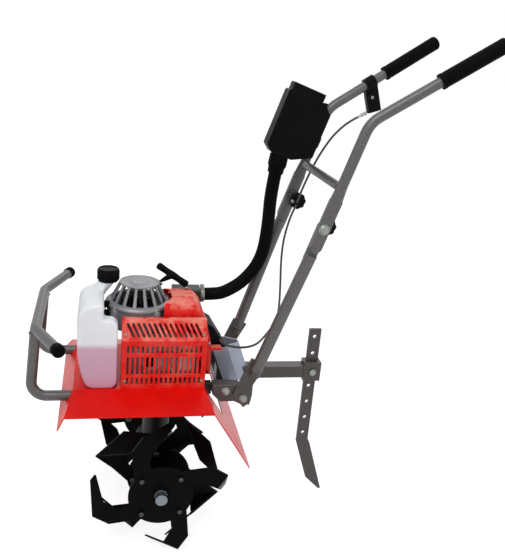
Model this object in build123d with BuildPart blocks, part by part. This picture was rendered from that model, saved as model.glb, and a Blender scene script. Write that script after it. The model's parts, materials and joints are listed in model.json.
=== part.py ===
"""Mini tiller: a small two-stroke tiller with a tined reel under a folded fender.

Axes: +X to the rear, +Y to the machine's right, +Z up. The origin lies on the floor
below the middle of the whole length. Lengths are in millimetres, angles in degrees.
"""
import os
from math import cos, hypot, radians, sin, sqrt, tan

from build123d import *

os.makedirs("parts", exist_ok=True)

# General clearances and the overrun of cuts
overrun = 5.0
running_gap = 0.05
seat_gap = 0.3
bend_radius = 30.0
upright = 90.0
full_turn = 360.0
hex_sides = 6

# Tined reel and its gearbox
axle_height = 142.0
shaft_r = 12.5
shaft_end_r = 12.0
shaft_end_length = 16.0
hub_r = 17.0
disc_y = 194.0
inner_disc_y = 122.0
disc_r = 66.0
disc_thickness = 4.0
disc_bolt_circle_r = 55.0
disc_bolt_r = 6.0
disc_bolt_head = 4.0
disc_blades = 4
outer_disc_turn = 46.0
inner_disc_turn = 7.0
outer_arm_shares = (
    (0.387, 26.0),
    (0.845, -15.0),
    (1.0, -29.0),
    (0.824, -41.0),
    (0.62, -29.0),
    (0.387, -24.0),
)
outer_wing_shares = ((1.0, -51.0), (0.951, -57.0))
outer_wing_reach = 44.0
inner_arm_shares = (
    (0.387, 37.0),
    (0.704, -20.0),
    (0.993, -28.0),
    (0.923, -62.0),
    (0.62, -44.0),
    (0.387, -11.0),
)
inner_wing_shares = ((0.725, -60.0), (0.887, -89.0))
inner_wing_reach = 41.0
wing_root_places = slice(2, 4)
gearbox_r = 44.0
gearbox_half_width = 28.0
gearbox_boss_r = 25.0
gearbox_boss_length = 12.0
gearbox_neck_r = 30.0
gearbox_neck_top = 122.0
gearbox_flange_r = 46.0
gearbox_flange = 8.0
clutch_r = 52.0

# Folded sheet fender
sheet = 2.0
deck_z = 198.0
deck_front_x = -178.0
deck_rear_x = 87.0
deck_half_width = 110.0
side_half_width = 183.0
side_drop = 21.0
flap_half_width = 197.0
front_flap_run = 26.0
front_flap_drop = 40.0
rear_flap_run = 93.0
rear_flap_drop = 140.0
window_half_width = 100.0
window_drop = 85.0

# Frame under the deck
rail_y = 79.0
rail_width = 18.0
rail_height = 24.0
rail_front_x = -150.0
cross_plate_x = -130.0
cross_plate_length = 40.0
cross_plate = 4.0
cross_plate_half_width = 124.0

# Front bumper
bumper_r = 10.5
bumper_leg_inset = 2.0
bumper_top_x = -248.0
bumper_top_z = 330.0
bumper_foot_x = -260.0
bumper_end_x = -197.0
bumper_end_y = 224.0
bumper_end_z = 335.0
bumper_cap_length = 16.0
bumper_cap_wall = 2.0
leg_rear_x = -100.0

# Engine
block_front_x = -72.0
block_rear_x = 74.0
block_left_y = -68.0
block_right_y = 46.0
block_top_z = 302.0
muffler_front_x = -34.0
muffler_rear_x = 66.0
muffler_depth = 28.0
muffler_low_z = 224.0
muffler_high_z = 288.0

# Engine cover on the left side, with its louvres and its grille
cover_wall = 2.5
cover_front_x = -84.0
cover_rear_x = 88.0
cover_face_y = -107.0
cover_top_y = -82.0
cover_back_y = -69.0
cover_break_z = 303.0
cover_top_z = 340.0
grille_count = 16
grille_pitch = 9.8
grille_slot = 5.0
grille_row_shares = ((0.08, 0.23), (0.29, 0.67), (0.74, 0.9))
louvre_count = 14
louvre_pitch = 10.6
louvre_slot = 5.0
louvre_length = 32.0
louvre_lean = 24.0

# Recoil starter
recoil_x = -48.0
recoil_r = 66.0
recoil_wall = 3.5
recoil_ring_z = 352.0
cage_low_z = 357.0
cage_low_r = 58.0
cage_top_z = 393.0
cage_top_r = 41.0
cage_slots = 16
cage_slot = 12.0
lug_turns = (-59.0, -139.0, 139.0, 74.0)
lug_r = 8.0
lug_low_z = 318.0
lug_high_z = 346.0
lug_bolt_r = 5.0
lug_bolt_height = 5.0
fan_r = 44.0
fan_height = 22.0
rope_guide_x = -2.0
rope_guide_y = 41.0
rope_guide_z = 378.0
rope_guide_length = 18.0
starter_rope_r = 6.0
starter_grip_r = 8.0
starter_grip_front_x = -6.0
starter_grip_front_y = 66.0
starter_grip_front_z = 408.0
starter_grip_rear_x = 56.0
starter_grip_rear_y = 22.0
starter_grip_rear_z = 378.0

# Shroud over the cylinder, and the black cover behind it
shroud_wall = 2.5
shroud_front_x = 1.0
shroud_top_rear_x = 74.0
shroud_shoulder_x = 84.0
shroud_shoulder_z = 350.0
shroud_rear_x = 108.0
shroud_knee_z = 266.0
shroud_foot_z = 208.0
shroud_top_z = 364.0
shroud_left_y = -66.0
shroud_right_y = 52.0
shroud_slope = 9.0
shroud_gap = 1.5
shroud_tab_length = 20.0
shroud_tab_width = 18.0
shroud_tab = 6.0
rear_cover_left_y = -40.0
rear_cover_right_y = 30.0
rear_cover_top_z = 314.0
rear_cover_low_z = 259.0
rear_cover_depth = 31.0
carburettor_front_x = 30.0
carburettor_rear_x = 92.0
carburettor_right_y = 98.0
carburettor_low_z = 306.0
carburettor_high_z = 354.0

# Fuel tank
tank_front_x = -171.0
tank_waist_x = -120.0
tank_rear_x = -92.0
tank_left_y = -108.0
tank_right_y = 30.0
tank_step_y = -74.0
tank_top_z = 378.0
tank_step_z = 346.0
tank_edge = 16.0
cap_x = -112.0
cap_y = 2.0
cap_r = 23.0
cap_low_z = 396.0
cap_high_z = 420.0
neck_r = 18.0
tank_mount_r = 6.0
tank_mount_y = -22.0
tank_mount_low_z = 330.0
tank_mount_high_z = 349.0

# Rear bracket, column, drawbar and depth stake
bracket_front_x = 106.0
bracket_low_z = 164.0
bracket_step_z = 181.0
bracket_top_z = 202.0
bracket_bolt_x = 133.0
bracket_bolt_z = 188.0
beam_front_x = 128.0
beam_rear_x = 160.0
beam_low_z = 152.0
beam_top_z = 170.0
beam_half_width = 82.0
ear_rear_x = 188.0
ear_low_z = 155.0
column_front_x = 143.0
column_fold_x = 177.0
column_rear_x = 207.0
column_half_width = 25.0
column_rear_half_width = 8.0
column_lean = 0.377
column_top_z = 256.0
column_sheet = 3.0
drawbar_side = 28.0
drawbar_z = 184.0
sleeve_front_x = 331.0
sleeve_length = 40.0
sleeve_width = 30.0
sleeve_height = 46.0
stake_width = 28.0
stake_thickness = 6.0
stake_gap = 0.3
stake_top_z = 286.0
stake_bend_z = -5.0
stake_tip_x = 414.0
stake_tip_flat = 6.0
stake_hole_r = 4.5
stake_hole_pitch = 41.5
stake_holes_up = 2
stake_holes_down = 4
clamp_bolt_r = 5.0
clamp_head_r = 9.0
clamp_head = 7.0

# Handles
handle_lean = 72.1
grip_lean = 33.9
pivot_x = 171.4
pivot_z = 172.5
pivot_y = 110.0
tube_r = 12.5
pivot_plate = 5.0
pivot_plate_length = 92.0
pivot_plate_half = 18.0
pivot_plate_shares = (
    (1.0, 1.0),
    (0.95, -0.95),
    (0.39, -0.45),
    (0.15, -0.85),
    (-0.03, -1.0),
    (-0.21, -0.45),
    (0.01, 1.33),
    (0.29, 1.28),
)
pivot_bolt_r = 5.0
pivot_head_r = 9.0
pivot_head = 6.0
pivot_tip = 2.0
tube_start = 72.0
socket_length = 14.0
fold_along = 401.0
fold_y = 136.0
fold_clear = 57.0
fold_plate = 5.0
fold_bolt_r = 4.0
fold_bolt_tip = 4.0
fold_head_r = 11.0
fold_head = 6.0
fold_knob_r = 19.0
fold_knob = 20.0
fold_knob_shift = 14.0
cheek = 8.0
cheek_half = 13.0
cheek_tail = 50.0
cheek_reach = 61.0
cheek_taper = 33.0
upper_tube_r = 10.5
cross_along = 487.0
crossbar_r = 9.0
bend_along = 620.0
bend_y = 132.0
grip_start = 150.0
grip_length = 140.0
grip_end_y = 149.0
grip_r = 15.5
grip_end_wall = 4.0

# Air cleaner and intake hose, on the right handle
air_box_low = 487.0
air_box_length = 138.0
air_box_back = 6.0
air_box_depth = 107.0
air_box_shares = (
    (0.15, 0.0),
    (0.0, 0.41),
    (0.0, 0.86),
    (0.09, 1.0),
    (1.0, 1.0),
    (1.0, 0.2),
    (0.86, 0.0),
)
air_box_left_y = 80.0
air_box_right_y = 118.0
air_box_edge = 5.0
air_lid = 17.0
air_lid_back = 26.0
air_lid_inset = 6.0
air_lid_side = 3.0
air_clamp_share = 0.4
air_clamp_width = 24.0
air_clamp_wall = 3.0
hose_r = 14.5
hose_collar_r = 17.0
hose_collar = 8.0
hose_end_y = 99.0
hose_forward = 73.0
hose_foot_y = 76.0
hose_foot_z = 338.0

# Throttle
throttle_clamp_along = 110.0
throttle_clamp_width = 24.0
throttle_clamp_wall = 4.0
throttle_body_half = 14.0
throttle_body_shift = 19.0
throttle_body_drop = 61.0
throttle_body_tilt = 5.0
throttle_body_width = 16.0
cable_r = 2.5
arc_share = 0.45


# The overall length, from the bumper's foot to the grips' ends, sets the origin.
def unit(vector):
    """The vector shortened to a length of one."""
    size = sqrt(sum(part * part for part in vector))
    return tuple(part / size for part in vector)


bumper_leg_y = deck_half_width - bumper_leg_inset
leg_slope = (bumper_top_x - bumper_foot_x) / (bumper_top_z - deck_z + sheet + bumper_r)
leg_bend_x = bumper_foot_x + bend_radius * (leg_slope + hypot(1, leg_slope))
front_x = leg_bend_x - bend_radius - bumper_r
bend_x = pivot_x + bend_along * cos(radians(handle_lean))
bend_z = pivot_z + bend_along * sin(radians(handle_lean))
grip_run = grip_start + grip_length
grip_end_x = bend_x + grip_run * cos(radians(grip_lean))
grip_end_z = bend_z + grip_run * sin(radians(grip_lean))
grip_way = unit((grip_end_x - bend_x, grip_end_y - bend_y, grip_end_z - bend_z))
rear_x = grip_end_x + grip_r * sqrt(1 - grip_way[0] ** 2)
axle_x = -(front_x + rear_x) / 2

# base lies level at the axle's centre, and side stands on it and faces the left.
base = Plane(origin=(axle_x, 0, axle_height))
side = Plane(origin=(axle_x, 0, axle_height), x_dir=(1, 0, 0), z_dir=(0, -1, 0))
across = Plane(origin=(axle_x, 0, axle_height), x_dir=(0, 1, 0), z_dir=(1, 0, 0))
sides = (("left", -1), ("right", 1))


def save(piece, name):
    """Label a finished piece and write it."""
    piece.label = name
    export_step(piece, f"parts/{name}.step")


def tube(points, radius, bend=bend_radius):
    """A round bar along straight runs, with a tangent bend at each corner."""
    with BuildPart() as run:
        with BuildLine(base) as path:
            if len(points) > 2:
                FilletPolyline(*points, radius=bend)
            else:
                Line(*points)
        route = path.wire()
        with BuildSketch(Plane(origin=route @ 0, z_dir=route % 0)):
            Circle(radius)
        sweep(path=route)
    return run.part


def block(low, high):
    """A plain block between two corners."""
    with BuildPart(base) as solid:
        with Locations(tuple((a + b) / 2 for a, b in zip(low, high))):
            Box(*(b - a for a, b in zip(low, high)))
    return solid.part


def side_plate(points, y_from, y_to):
    """A plate with its outline in the machine's side view, between two widths."""
    with BuildPart() as solid:
        with BuildSketch(side.offset(-y_to)):
            with BuildLine():
                Polyline(*points, close=True)
            make_face()
        extrude(amount=y_to - y_from)
    return solid.part


def handle_at(along, y=0.0, forward=0.0):
    """A point on the straight handle line, or ahead of it."""
    lean = radians(handle_lean)
    x = pivot_x + along * cos(lean) - forward * sin(lean)
    return (x, y, pivot_z + along * sin(lean) + forward * cos(lean))


def handle_y(along):
    """How far out the handle's tube lies at a distance from its pivot."""
    if along < fold_along:
        return pivot_y + (fold_y - pivot_y) * along / fold_along
    return fold_y + (bend_y - fold_y) * (along - fold_along) / (bend_along - fold_along)


def grip_at(run, hand):
    """A point on the upper handle beyond its bend."""
    point = (bend_x, bend_y, bend_z)
    moved = tuple(p + run * w for p, w in zip(point, grip_way))
    return (moved[0], hand * moved[1], moved[2])


# Gearbox: a round case about the axle, its neck and the flange under the clutch
with BuildPart() as gearbox:
    with BuildSketch(side):
        Circle(gearbox_r)
    extrude(amount=gearbox_half_width, both=True)
    with BuildSketch(side):
        Circle(gearbox_boss_r)
    extrude(amount=gearbox_half_width + gearbox_boss_length, both=True)
    with BuildSketch(base):
        Circle(gearbox_neck_r)
    extrude(amount=gearbox_neck_top)
    with BuildSketch(base.offset(gearbox_neck_top)):
        Circle(gearbox_flange_r)
    extrude(amount=gearbox_flange)
    with BuildSketch(side):
        Circle(shaft_r + running_gap)
    extrude(amount=gearbox_half_width * 2, both=True, mode=Mode.SUBTRACT)
save(gearbox.part, "gearbox")

# Clutch housing: a flared bell from the gearbox flange to the deck
with BuildPart() as clutch_housing:
    with BuildSketch(base.offset(gearbox_neck_top + gearbox_flange)):
        Circle(gearbox_flange_r)
    with BuildSketch(base.offset(deck_z - sheet)):
        Circle(clutch_r)
    loft()
save(clutch_housing.part, "clutch_housing")


# Fender: a deck with sloping side panels and a flap at each end
def flap_plane(top_x, run, drop, facing):
    """The outer face of a flap, with its local y axis down the slope."""
    slope = hypot(run, drop)
    return Plane(
        origin=base.from_local_coords((top_x, 0, deck_z)),
        x_dir=(0, -facing, 0),
        z_dir=(facing * drop / slope, 0, run / slope),
    )


front_flap = flap_plane(deck_front_x, front_flap_run, front_flap_drop, -1)
rear_flap = flap_plane(deck_rear_x, rear_flap_run, rear_flap_drop, 1)
leg_z = deck_z - sheet - bumper_r
with BuildPart() as fender:
    with BuildSketch(across):
        with BuildLine():
            Polyline(
                (-side_half_width, deck_z - side_drop),
                (-deck_half_width, deck_z),
                (deck_half_width, deck_z),
                (side_half_width, deck_z - side_drop),
                (side_half_width, deck_z - side_drop - sheet),
                (deck_half_width, deck_z - sheet),
                (-deck_half_width, deck_z - sheet),
                (-side_half_width, deck_z - side_drop - sheet),
                close=True,
            )
        make_face()
    extrude(amount=deck_rear_x - deck_front_x, both=True)
    split(bisect_by=front_flap, keep=Keep.BOTTOM)
    split(bisect_by=rear_flap, keep=Keep.BOTTOM)
    for plane, run, drop in (
        (front_flap, front_flap_run, front_flap_drop),
        (rear_flap, rear_flap_run, rear_flap_drop),
    ):
        slope_length = hypot(run, drop)
        side_length = slope_length * side_drop / drop
        with BuildSketch(plane):
            with BuildLine():
                Polyline(
                    (-deck_half_width, 0),
                    (deck_half_width, 0),
                    (side_half_width, side_length),
                    (flap_half_width, slope_length),
                    (-flap_half_width, slope_length),
                    (-side_half_width, side_length),
                    close=True,
                )
            make_face()
        extrude(amount=-sheet)
    with BuildSketch(across.offset(deck_front_x + overrun)):
        with Locations((-bumper_leg_y, leg_z), (bumper_leg_y, leg_z)):
            Circle(bumper_r + seat_gap)
    extrude(amount=-front_flap_run - overrun * 2, mode=Mode.SUBTRACT)
    with BuildSketch(rear_flap.offset(overrun)):
        with Locations((0, sheet / 2)):
            Rectangle(
                window_half_width * 2,
                window_drop - sheet / 2,
                align=(Align.CENTER, Align.MIN),
            )
    extrude(amount=-overrun * 2, mode=Mode.SUBTRACT)
save(fender.part, "fender")

# Frame under the deck: two rails back to the bracket, and a plate across the front
with BuildPart() as frame_rails:
    for name, hand in sides:
        add(block(
            (rail_front_x, hand * rail_y - rail_width / 2, deck_z - sheet - rail_height),
            (bracket_front_x, hand * rail_y + rail_width / 2, deck_z - sheet),
        ))
    add(block(
        (
            cross_plate_x - cross_plate_length / 2,
            -cross_plate_half_width,
            deck_z - sheet - rail_height - cross_plate,
        ),
        (
            cross_plate_x + cross_plate_length / 2,
            cross_plate_half_width,
            deck_z - sheet - rail_height,
        ),
    ))
save(frame_rails.part, "frame_rails")

# Bumper: a bar with swept ends on two bent legs, with a rubber cap on each end
bumper_points = (
    (bumper_end_x, -bumper_end_y, bumper_end_z),
    (bumper_top_x, -bumper_leg_y, bumper_top_z),
    (bumper_top_x, bumper_leg_y, bumper_top_z),
    (bumper_end_x, bumper_end_y, bumper_end_z),
)
with BuildPart() as bumper_bar:
    add(tube(bumper_points, bumper_r))
save(bumper_bar.part, "bumper_bar")
for name, hand in sides:
    with BuildPart() as bumper_leg:
        add(tube(
            (
                (bumper_top_x, hand * bumper_leg_y, bumper_top_z),
                (bumper_foot_x, hand * bumper_leg_y, leg_z),
                (leg_rear_x, hand * bumper_leg_y, leg_z),
            ),
            bumper_r,
        ))
        add(tube(bumper_points, bumper_r + seat_gap), mode=Mode.SUBTRACT)
    leg = bumper_leg.part.solids().sort_by(SortBy.VOLUME)[-1]
    save(leg, f"bumper_leg_{name}")
end_way = unit((
    bumper_end_x - bumper_top_x,
    bumper_end_y - bumper_leg_y,
    bumper_end_z - bumper_top_z,
))
with BuildPart() as bumper_caps:
    for name, hand in sides:
        end = (bumper_end_x, hand * bumper_end_y, bumper_end_z)
        way = (end_way[0], hand * end_way[1], end_way[2])
        tip = tuple(e + w * bumper_cap_wall for e, w in zip(end, way))
        root = tuple(e - w * bumper_cap_length for e, w in zip(end, way))
        add(tube((root, tip), bumper_r + bumper_cap_wall))
        add(tube((root, end), bumper_r + running_gap), mode=Mode.SUBTRACT)
save(bumper_caps.part, "bumper_caps")

# Engine: one plain block, and the muffler behind the grille
with BuildPart() as engine_block:
    add(block(
        (block_front_x, block_left_y, deck_z),
        (block_rear_x, block_right_y, block_top_z),
    ))
save(engine_block.part, "engine_block")
with BuildPart() as muffler:
    add(block(
        (muffler_front_x, block_left_y - muffler_depth, muffler_low_z),
        (muffler_rear_x, block_left_y, muffler_high_z),
    ))
    fillet(muffler.edges().filter_by(Axis.Y), cover_wall * 2)
save(muffler.part, "muffler")

# Engine cover: a shell with a grille in its face and a row of louvres above
with BuildPart() as engine_cover:
    with BuildSketch(across.offset(cover_front_x)):
        with BuildLine():
            Polyline(
                (cover_face_y, deck_z),
                (cover_face_y, cover_break_z),
                (cover_top_y, cover_top_z),
                (cover_back_y, cover_top_z),
                (cover_back_y, deck_z),
                close=True,
            )
        make_face()
    extrude(amount=cover_rear_x - cover_front_x)
    with BuildSketch(across.offset(cover_front_x + cover_wall)):
        with BuildLine():
            Polyline(
                (cover_face_y + cover_wall, deck_z + cover_wall),
                (cover_face_y + cover_wall, cover_break_z - cover_wall / 2),
                (cover_top_y + cover_wall / 2, cover_top_z - cover_wall),
                (cover_back_y + overrun, cover_top_z - cover_wall),
                (cover_back_y + overrun, deck_z + cover_wall),
                close=True,
            )
        make_face()
    extrude(amount=cover_rear_x - cover_front_x - cover_wall * 2, mode=Mode.SUBTRACT)
    cover_middle_x = (cover_front_x + cover_rear_x) / 2
    grille_height = cover_break_z - deck_z
    for low_share, high_share in grille_row_shares:
        slot_middle_z = deck_z + grille_height * (low_share + high_share) / 2
        with BuildSketch(side.offset(-cover_face_y + overrun)):
            with Locations((cover_middle_x, slot_middle_z)):
                with GridLocations(grille_pitch, 0, grille_count, 1):
                    slot_length = grille_height * (high_share - low_share)
                    SlotOverall(slot_length, grille_slot, rotation=upright)
        extrude(amount=-overrun - cover_wall * 2, mode=Mode.SUBTRACT)
    band_rise = cover_top_z - cover_break_z
    band_run = cover_top_y - cover_face_y
    band = Plane(
        origin=base.from_local_coords((
            cover_middle_x,
            (cover_face_y + cover_top_y) / 2,
            (cover_break_z + cover_top_z) / 2,
        )),
        x_dir=(1, 0, 0),
        z_dir=unit((0, -band_rise, band_run)),
    )
    with BuildSketch(band.offset(overrun)):
        with GridLocations(louvre_pitch, 0, louvre_count, 1):
            SlotOverall(louvre_length, louvre_slot, rotation=upright + louvre_lean)
    extrude(amount=-overrun - cover_wall * 2, mode=Mode.SUBTRACT)
save(engine_cover.part, "engine_cover")

# Recoil cover: a cast skirt with lugs and a slotted cage on top
stem_end = (rope_guide_x, rope_guide_y, rope_guide_z)
grip_ends = (
    (starter_grip_front_x, starter_grip_front_y, starter_grip_front_z),
    (starter_grip_rear_x, starter_grip_rear_y, starter_grip_rear_z),
)
grip_middle = tuple((a + b) / 2 for a, b in zip(*grip_ends))
rope_way = unit(tuple(s - g for s, g in zip(stem_end, grip_middle)))
guide_end = tuple(s + w * rope_guide_length for s, w in zip(stem_end, rope_way))
with BuildPart() as recoil_cover:
    with BuildSketch(Plane(origin=base.from_local_coords((recoil_x, 0, 0)),
                           x_dir=(1, 0, 0), z_dir=(0, -1, 0))):
        with BuildLine():
            Polyline(
                (recoil_r - recoil_wall, block_top_z),
                (recoil_r, block_top_z),
                (recoil_r, recoil_ring_z),
                (cage_low_r, cage_low_z),
                (cage_top_r, cage_top_z),
                (0, cage_top_z),
                (0, cage_top_z - recoil_wall),
                (cage_top_r - recoil_wall, cage_top_z - recoil_wall),
                (cage_low_r - recoil_wall, cage_low_z - recoil_wall),
                (recoil_r - recoil_wall, recoil_ring_z - recoil_wall),
                close=True,
            )
        make_face()
    revolve(axis=Axis(base.from_local_coords((recoil_x, 0, 0)), (0, 0, 1)))
    slot_low_z = cage_low_z + recoil_wall
    slot_high_z = cage_top_z - recoil_wall * 2
    with BuildSketch(base.offset(slot_low_z)):
        with Locations((recoil_x, 0)):
            with PolarLocations((cage_low_r + cage_top_r) / 2, cage_slots):
                Rectangle(cage_low_r - cage_top_r, cage_slot)
    extrude(amount=slot_high_z - slot_low_z, mode=Mode.SUBTRACT)
    for turn in lug_turns:
        lug_x = recoil_x + recoil_r * cos(radians(turn))
        lug_y = recoil_r * sin(radians(turn))
        with BuildSketch(base.offset(lug_low_z)):
            with Locations((lug_x, lug_y)):
                Circle(lug_r)
        extrude(amount=lug_high_z - lug_low_z)
        with BuildSketch(base.offset(lug_high_z)):
            with Locations((lug_x, lug_y)):
                RegularPolygon(lug_bolt_r, hex_sides)
        extrude(amount=lug_bolt_height)
    add(tube((stem_end, guide_end), lug_r))
save(recoil_cover.part, "recoil_cover")

# Cooling fan under the cage: a disc with upright blades
with BuildPart() as fan:
    with BuildSketch(base.offset(block_top_z)):
        with Locations((recoil_x, 0)):
            Circle(fan_r)
    extrude(amount=fan_height)
    with BuildSketch(base.offset(block_top_z + fan_height)):
        with Locations((recoil_x, 0)):
            with PolarLocations(fan_r - fan_height / 2, cage_slots):
                Rectangle(fan_height / 2, recoil_wall)
    extrude(amount=fan_height)
save(fan.part, "cooling_fan")

# Starter grip: a bar across the end of its rope
with BuildPart() as starter_grip:
    add(tube(grip_ends, starter_grip_r))
    add(tube((grip_middle, stem_end), starter_rope_r))
save(starter_grip.part, "starter_grip")

# Shroud: a shell over the cylinder, open below, cut round the recoil cover
shroud_outline = (
    (shroud_front_x, block_top_z),
    (shroud_front_x, shroud_top_z),
    (shroud_top_rear_x, shroud_top_z),
    (shroud_shoulder_x, shroud_shoulder_z),
    (shroud_rear_x, shroud_knee_z),
    (shroud_rear_x, shroud_foot_z),
    (block_rear_x + seat_gap, shroud_foot_z),
    (block_rear_x + seat_gap, block_top_z),
)
shroud_inside = (
    (shroud_front_x - overrun, block_top_z - overrun),
    (shroud_front_x - overrun, shroud_top_z - shroud_wall),
    (shroud_top_rear_x - shroud_wall / 2, shroud_top_z - shroud_wall),
    (shroud_shoulder_x - shroud_wall, shroud_shoulder_z - shroud_wall / 2),
    (shroud_rear_x - shroud_wall, shroud_knee_z),
    (shroud_rear_x - shroud_wall, shroud_foot_z + shroud_wall),
    (block_rear_x + seat_gap - overrun, shroud_foot_z + shroud_wall),
    (block_rear_x + seat_gap - overrun, block_top_z - overrun),
)
with BuildPart() as engine_shroud:
    add(side_plate(shroud_outline, shroud_left_y, shroud_right_y))
    with BuildSketch(across.offset(shroud_front_x)):
        with BuildLine():
            Polyline(
                (shroud_left_y - overrun, shroud_top_z + overrun),
                (shroud_left_y - overrun, shroud_shoulder_z - shroud_slope),
                (shroud_left_y, shroud_shoulder_z - shroud_slope),
                (shroud_left_y + shroud_slope, shroud_top_z),
                (shroud_left_y + shroud_slope, shroud_top_z + overrun),
                close=True,
            )
        make_face()
    extrude(amount=shroud_rear_x - shroud_front_x, mode=Mode.SUBTRACT)
    add(
        side_plate(
            shroud_inside,
            shroud_left_y + shroud_slope + shroud_wall,
            shroud_right_y - shroud_wall,
        ),
        mode=Mode.SUBTRACT,
    )
    with BuildSketch(base.offset(block_top_z - overrun)):
        with Locations((recoil_x, 0)):
            Circle(recoil_r + shroud_gap)
    extrude(amount=shroud_top_z, mode=Mode.SUBTRACT)
    tab_right_y = rear_cover_left_y - seat_gap
    add(block(
        (shroud_rear_x, tab_right_y - shroud_tab_width, shroud_knee_z - shroud_tab),
        (shroud_rear_x + shroud_tab_length, tab_right_y, shroud_knee_z),
    ))
save(engine_shroud.part, "engine_shroud")

# Black cover on the shroud's sloping rear face
slope_x = (shroud_rear_x - shroud_shoulder_x) / (shroud_shoulder_z - shroud_knee_z)
cover_foot_x = shroud_rear_x + rear_cover_depth
rear_cover_front_x = shroud_rear_x - slope_x * (rear_cover_top_z - shroud_knee_z)
with BuildPart() as rear_cover:
    add(side_plate(
        (
            (rear_cover_front_x, rear_cover_top_z),
            (rear_cover_front_x + rear_cover_depth / 2, rear_cover_top_z - shroud_slope),
            (cover_foot_x - shroud_slope / 2, shroud_knee_z),
            (cover_foot_x, rear_cover_low_z),
            (shroud_rear_x, rear_cover_low_z),
            (shroud_rear_x, shroud_knee_z),
        ),
        rear_cover_left_y,
        rear_cover_right_y,
    ))
save(rear_cover.part, "rear_cover")

# Carburettor on the right of the shroud, where the intake hose ends
with BuildPart() as carburettor:
    add(block(
        (carburettor_front_x, shroud_right_y, carburettor_low_z),
        (carburettor_rear_x, carburettor_right_y, carburettor_high_z),
    ))
    fillet(carburettor.edges().filter_by(Axis.X), cover_wall * 2)
save(carburettor.part, "carburettor")

# Fuel tank: a body ahead of the engine with a step that wraps round its left
neck_low_z = tank_top_z - tank_edge
with BuildPart() as fuel_tank:
    add(block(
        (tank_front_x, tank_left_y, deck_z + seat_gap),
        (tank_waist_x, tank_right_y, tank_top_z),
    ))
    add(block(
        (tank_waist_x, tank_left_y, deck_z + seat_gap),
        (tank_rear_x, tank_step_y, tank_step_z),
    ))
    fillet(
        fuel_tank.edges().filter_by(Axis.Y).group_by(Axis.X)[0]
        + fuel_tank.edges().filter_by(Axis.Y).group_by(Axis.X)[-1],
        tank_edge,
    )
    with BuildSketch(base.offset(neck_low_z)):
        with Locations((tank_waist_x - neck_r, cap_y)):
            Circle(neck_r)
    with BuildSketch(base.offset(cap_low_z)):
        with Locations((cap_x, cap_y)):
            Circle(neck_r)
    loft()
save(fuel_tank.part, "fuel_tank")
with BuildPart() as fuel_cap:
    with BuildSketch(base.offset(cap_low_z)):
        with Locations((cap_x, cap_y)):
            Circle(cap_r)
    extrude(amount=cap_high_z - cap_low_z)
    fillet(fuel_cap.edges().group_by(Axis.Z)[-1], cover_wall)
save(fuel_cap.part, "fuel_cap")
with BuildPart() as tank_mounts:
    for z in (tank_mount_low_z, tank_mount_high_z):
        add(tube(
            ((tank_waist_x, tank_mount_y, z), (recoil_x - cage_low_r, tank_mount_y, z)),
            tank_mount_r,
        ))
    with BuildSketch(base.offset(block_top_z)):
        with Locations((recoil_x, 0)):
            Circle(recoil_r + seat_gap)
    extrude(amount=cage_top_z - block_top_z, mode=Mode.SUBTRACT)
save(tank_mounts.part, "tank_mounts")

# Rear bracket: a beam across the machine with an end block and an ear for each handle
end_block_outline = (
    (bracket_front_x, bracket_top_z),
    (bracket_front_x, bracket_step_z),
    (bracket_front_x + bracket_step_z - bracket_low_z, bracket_low_z),
    (pivot_x - pivot_plate_half, bracket_low_z),
    (pivot_x, ear_low_z),
    (ear_rear_x, ear_low_z),
    (ear_rear_x, bracket_step_z),
    (beam_rear_x, bracket_top_z),
)
ear_y = pivot_y - pivot_plate / 2 - seat_gap
with BuildPart() as rear_bracket:
    add(block(
        (beam_front_x, -beam_half_width, beam_low_z),
        (beam_rear_x, beam_half_width, beam_top_z),
    ))
    for name, hand in sides:
        ends = sorted((hand * beam_half_width, hand * ear_y))
        add(side_plate(end_block_outline, *ends))
    with BuildSketch(side):
        with Locations((pivot_x, pivot_z), (bracket_bolt_x, bracket_bolt_z)):
            Circle(pivot_bolt_r + running_gap)
    extrude(amount=pivot_y, both=True, mode=Mode.SUBTRACT)
save(rear_bracket.part, "rear_bracket")


# Column: a sheet folded into a leaning channel, open to the front
def column_section(wall):
    """The channel's outline at its foot, moved inward by a wall."""
    half = column_half_width - wall
    rear_half = column_rear_half_width - wall / 2
    rear = column_rear_x - wall
    return (
        (column_front_x, -half),
        (column_fold_x, -half),
        (rear, -rear_half),
        (rear, rear_half),
        (column_fold_x, half),
        (column_front_x, half),
    )


half_bar = drawbar_side / 2
column_way = (-column_lean, 0, 1)
column_run = (column_top_z - beam_top_z) * hypot(1, column_lean)
with BuildPart() as rear_column:
    with BuildSketch(base.offset(beam_top_z)):
        with BuildLine():
            Polyline(*column_section(0), close=True)
        make_face()
    extrude(amount=column_run, dir=column_way)
    with BuildSketch(base.offset(beam_top_z)):
        with BuildLine():
            Polyline(*column_section(column_sheet), close=True)
        make_face()
    extrude(amount=column_run, dir=column_way, mode=Mode.SUBTRACT)
    add(
        block(
            (column_front_x - overrun, -half_bar - seat_gap, beam_top_z - overrun),
            (column_rear_x + overrun, half_bar + seat_gap, drawbar_z + half_bar + seat_gap),
        ),
        mode=Mode.SUBTRACT,
    )
save(rear_column.part, "rear_column")

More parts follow.
